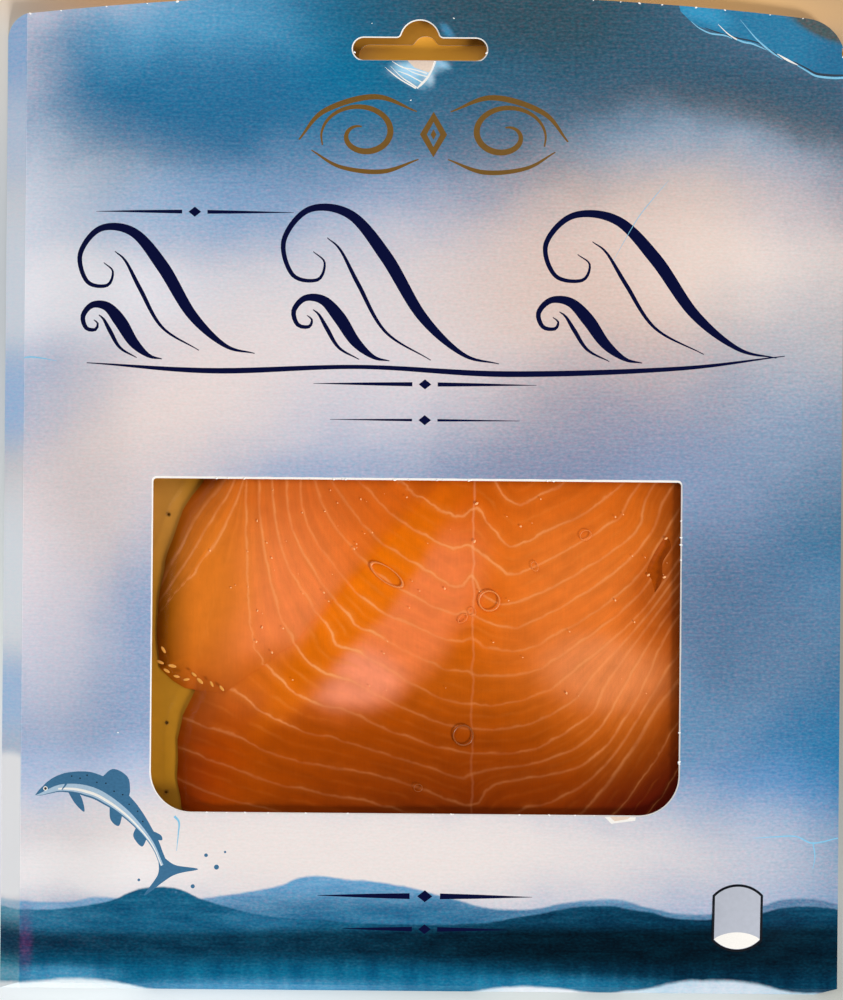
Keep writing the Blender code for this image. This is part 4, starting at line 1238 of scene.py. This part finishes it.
def on_film(places, sink):
    p = np.array(places, float)
    return np.column_stack([p, film_height(p) - sink])


def make_small_things():
    """Bubbles and beads of brine under the film, painted glints at the tear and by the seam, rims of the
    pinholes, and nicks in the card's edges.
    """
    numbers = np.random.default_rng(5)
    rims = plain_finish("rim of an air bubble under the film", "#e9853c", 0.05, Roughness=0.3)
    # Painted shade: a darker copy of the rim colour for the bubbles over the fish's painted shade at its
    # foot
    shaded_rims = plain_finish("rim of an air bubble in the fish's painted shade", "#984a0c", 0.05, Roughness=0.3)
    for name, made, bubbles in (
        ("bubble_rims", rims, [
            (16.2, -25.3, 2.3, 2.2, 0), (-8.2, -19.3, 4.6, 1.7, -35), (12.2, -28.0, 1.0, 1.1, 0),
            (10.0, -29.6, 1.5, 0.8, 40), (39.0, -9.5, 1.2, 1.0, 30), (27.0, -17.0, 0.9, 1.3, 20),
        ]),
        ("shaded_bubble_rims", shaded_rims, [(10.3, -57.3, 2.2, 2.2, 0), (-0.3, -69.9, 1.0, 0.9, 0)]),
    ):
        scatter(name, on_film([b[:2] for b in bubbles], BUBBLE_SINK), [(b[2], b[3], 0.8) for b in bubbles],
                [b[4] for b in bubbles], "ring", made)
    beads = []
    while len(beads) < BEADS:
        x, y = numbers.uniform((WINDOW_LEFT + 3, -48), (WINDOW_RIGHT - 3, WINDOW_TOP - 2))
        likely = 1.0 if depth_in(np.array([(x, y)]), LEFT_SLICE)[0] > 1 else 0.35
        if numbers.random() < likely and depth_in(np.array([(x, y)]), MAIN_SLICE)[0] > 2:
            beads.append((x, y))
    frill = [(-62.0, -40.6), (-60.4, -42.6), (-58.0, -43.9), (-55.6, -44.6), (-52.4, -44.9),
             (-49.6, -45.6), (-47.2, -46.6), (-61.2, -37.6), (-53.8, -43.4), (-59.0, -41.4)]
    # Painted highlights: glints on the film at the tear and by the seam, made as small pale beads
    painted_glints = [(58.1, -10.1), (54.0, -18.8), (57.8, -19.3), (13.0, -2.2), (12.6, -11.2)]
    radii, flatness = numbers.uniform(0.1, 0.3, BEADS), numbers.uniform(0.5, 1.0, BEADS)
    sizes = [(radius, radius * flat, 0.1) for radius, flat in zip(radii, flatness)]
    sizes += [(0.45, 0.25, 0.12)] * len(painted_glints)
    turns = [*numbers.uniform(0, 180, BEADS), *numbers.uniform(20, 60, len(painted_glints))]
    bead = plain_finish("beads of fat and brine under the film, and painted glints", "#ffb877", 0.05, Roughness=0.25)
    scatter("beads", on_film([*beads, *painted_glints], BEAD_SINK), sizes, turns, "bead", bead)
    scatter("frilled_edge", on_film(frill, BUBBLE_SINK), [(0.9, 0.35, 0.12)] * len(frill),
            numbers.uniform(-70, 10, len(frill)), "bead",
            plain_finish("thin frilled edge of the fish", "#e39a3c", 0.1, Roughness=0.4))
    pins = [(x, y, BOARD_TOP + 0.02) for x, y in pin_places() if WINDOW_FOOT < y < WINDOW_TOP]
    scatter("pinhole_rims", pins, [(0.5, 0.5, 0.8)] * len(pins), [0] * len(pins), "ring",
            plain_finish("gold lamination pushed up", "#8a5a1a", 0.05, Roughness=0.5, Metallic=0.3))
    nicks = [(x, float(top_edge(x)) - 0.12) for x in (
        -94.4, -87, -76.2, -66.5, -59.3, 39.8, 46.3, 50.8, 56.2, 64.3, 71.2, 82.0, 89.9)]
    nicks += [(x, WINDOW_TOP + 0.1) for x in numbers.uniform(WINDOW_LEFT + 2, WINDOW_RIGHT - 2, 16)]
    nicks += [(x, WINDOW_FOOT - 0.1) for x in numbers.uniform(WINDOW_LEFT + 9, WINDOW_RIGHT - 9, 14)]
    nicks += [(WINDOW_RIGHT + 0.1, y) for y in numbers.uniform(WINDOW_FOOT + 10, WINDOW_TOP - 2, 8)]
    nicks += [(-17.0, 105.1), (14.5, 105.2), (6.6, 113.4), (-3.5, 93.7), (-12.9, 112.0), (-71.7, -57.3)]
    p = np.array(nicks)
    sizes = [(r, r * 0.6, 0.08) for r in numbers.uniform(0.18, 0.4, len(p))]
    scatter("card_nicks", np.column_stack([p, front_height(p) - 0.02]), sizes,
            numbers.uniform(-30, 30, len(p)), "bead",
            plain_finish("loose fibres of the card's paper core", "#fffdf8", 0.02, Roughness=0.8))


# Light, floor and camera


def make_stage():
    made, tree, shader = finish("pale table top", Roughness=0.6)
    place = flat_place(tree)
    colour = fields(tree, place, srgb("#d8dedc"), [
        (-104, 60, 22, 90, 0, "#bcc1c5", 1.0), (-104, -90, 22, 50, 0, "#e4e7eb", 1.0),
        (-60, -126, 70, 14, 0, "#eef5f8", 1.0), (108, -122, 30, 16, 0, "#c8ccc6", 1.0),
        (108, 0, 20, 130, 0, "#a39c8c", 1.0), (30, 150, 150, 60, 0, "#c39a5e", 1.0),
        (120, 130, 60, 60, 0, "#c89a62", 0.8), (-118, 124, 34, 50, 0, "#d8cfc2", 0.9),
        # Painted light: brighter bands along the pack's top edge, over the shadow the pack casts on the
        # floor
        (-60, 122, 44, 13, 4, "#f8bf84", 0.95), (62, 119, 38, 7, -6, "#f3be78", 0.9),
        # Partly the table's golden colour, partly painted light: a bright patch under the slot, lifting the
        # pack's shade there
        (0, 104, 40, 15, 0, "#f5ab20", 1.0),
    ])
    tree.links.new(colour, shader.inputs["Base Color"])
    mesh = bpy.data.meshes.new("floor")
    mesh.from_pydata([(-3, -3, 0), (3, -3, 0), (3, 3, 0), (-3, 3, 0)], [], [(0, 1, 2, 3)])
    mesh.materials.append(made)
    floor = bpy.data.objects.new("floor", mesh)
    bpy.context.scene.collection.objects.link(floor)


def make_lights():
    """Even light from all round, with a softer key from the lower right, as on the photo."""
    world = bpy.data.worlds.new("daylight room")
    bpy.context.scene.world = world
    world.use_nodes = True
    tree = world.node_tree
    up = add(tree, "ShaderNodeSeparateXYZ", {0: add(tree, "ShaderNodeTexCoord")}, out=2)
    level = add(tree, "ShaderNodeMapRange", {"Value": up, "From Min": 0.45, "From Max": 0.9,
                "To Min": 0.68, "To Max": 0.04}, interpolation_type="SMOOTHSTEP")
    tree.links.new(level, tree.nodes["Background"].inputs["Strength"])
    tree.nodes["Background"].inputs["Color"].default_value = (1.0, 1.0, 1.0, 1.0)
    for name, azimuth, elevation, strength, spread in (
        ("key", -40, 35, 2.2, 14), ("left", 150, 50, 0.6, 40), ("back", 60, 60, 0.5, 40),
    ):
        lamp = bpy.data.lights.new(name, "SUN")
        lamp.energy, lamp.angle = strength, math.radians(spread)
        sun = bpy.data.objects.new(name, lamp)
        a, e = math.radians(azimuth), math.radians(elevation)
        towards = Vector((math.cos(a) * math.cos(e), math.sin(a) * math.cos(e), math.sin(e)))
        sun.rotation_euler = towards.to_track_quat("Z", "Y").to_euler()
        bpy.context.scene.collection.objects.link(sun)


# The camera looks straight down, and the photo's height spans this length at this level
CAMERA_HEIGHT, FRAMED_LENGTH, FRAMED_LEVEL = 1000.0, 238.2, 5.0


def make_camera():
    lens = bpy.data.cameras.new("camera")
    lens.sensor_width = 36.0
    lens.lens = lens.sensor_width * (CAMERA_HEIGHT - FRAMED_LEVEL) / FRAMED_LENGTH
    lens.clip_start, lens.clip_end = 0.01, 10.0
    camera = bpy.data.objects.new("camera", lens)
    camera.location = (-0.1 * MM, -1.45 * MM, CAMERA_HEIGHT * MM)
    camera.rotation_euler = (0.0, 0.0, math.radians(0.5))
    bpy.context.scene.collection.objects.link(camera)
    bpy.context.scene.camera = camera


make_sleeve()
make_fish()
make_board()
make_film()
make_small_things()
make_stage()
make_lights()
make_camera()
bpy.context.scene.view_settings.view_transform = "Standard"
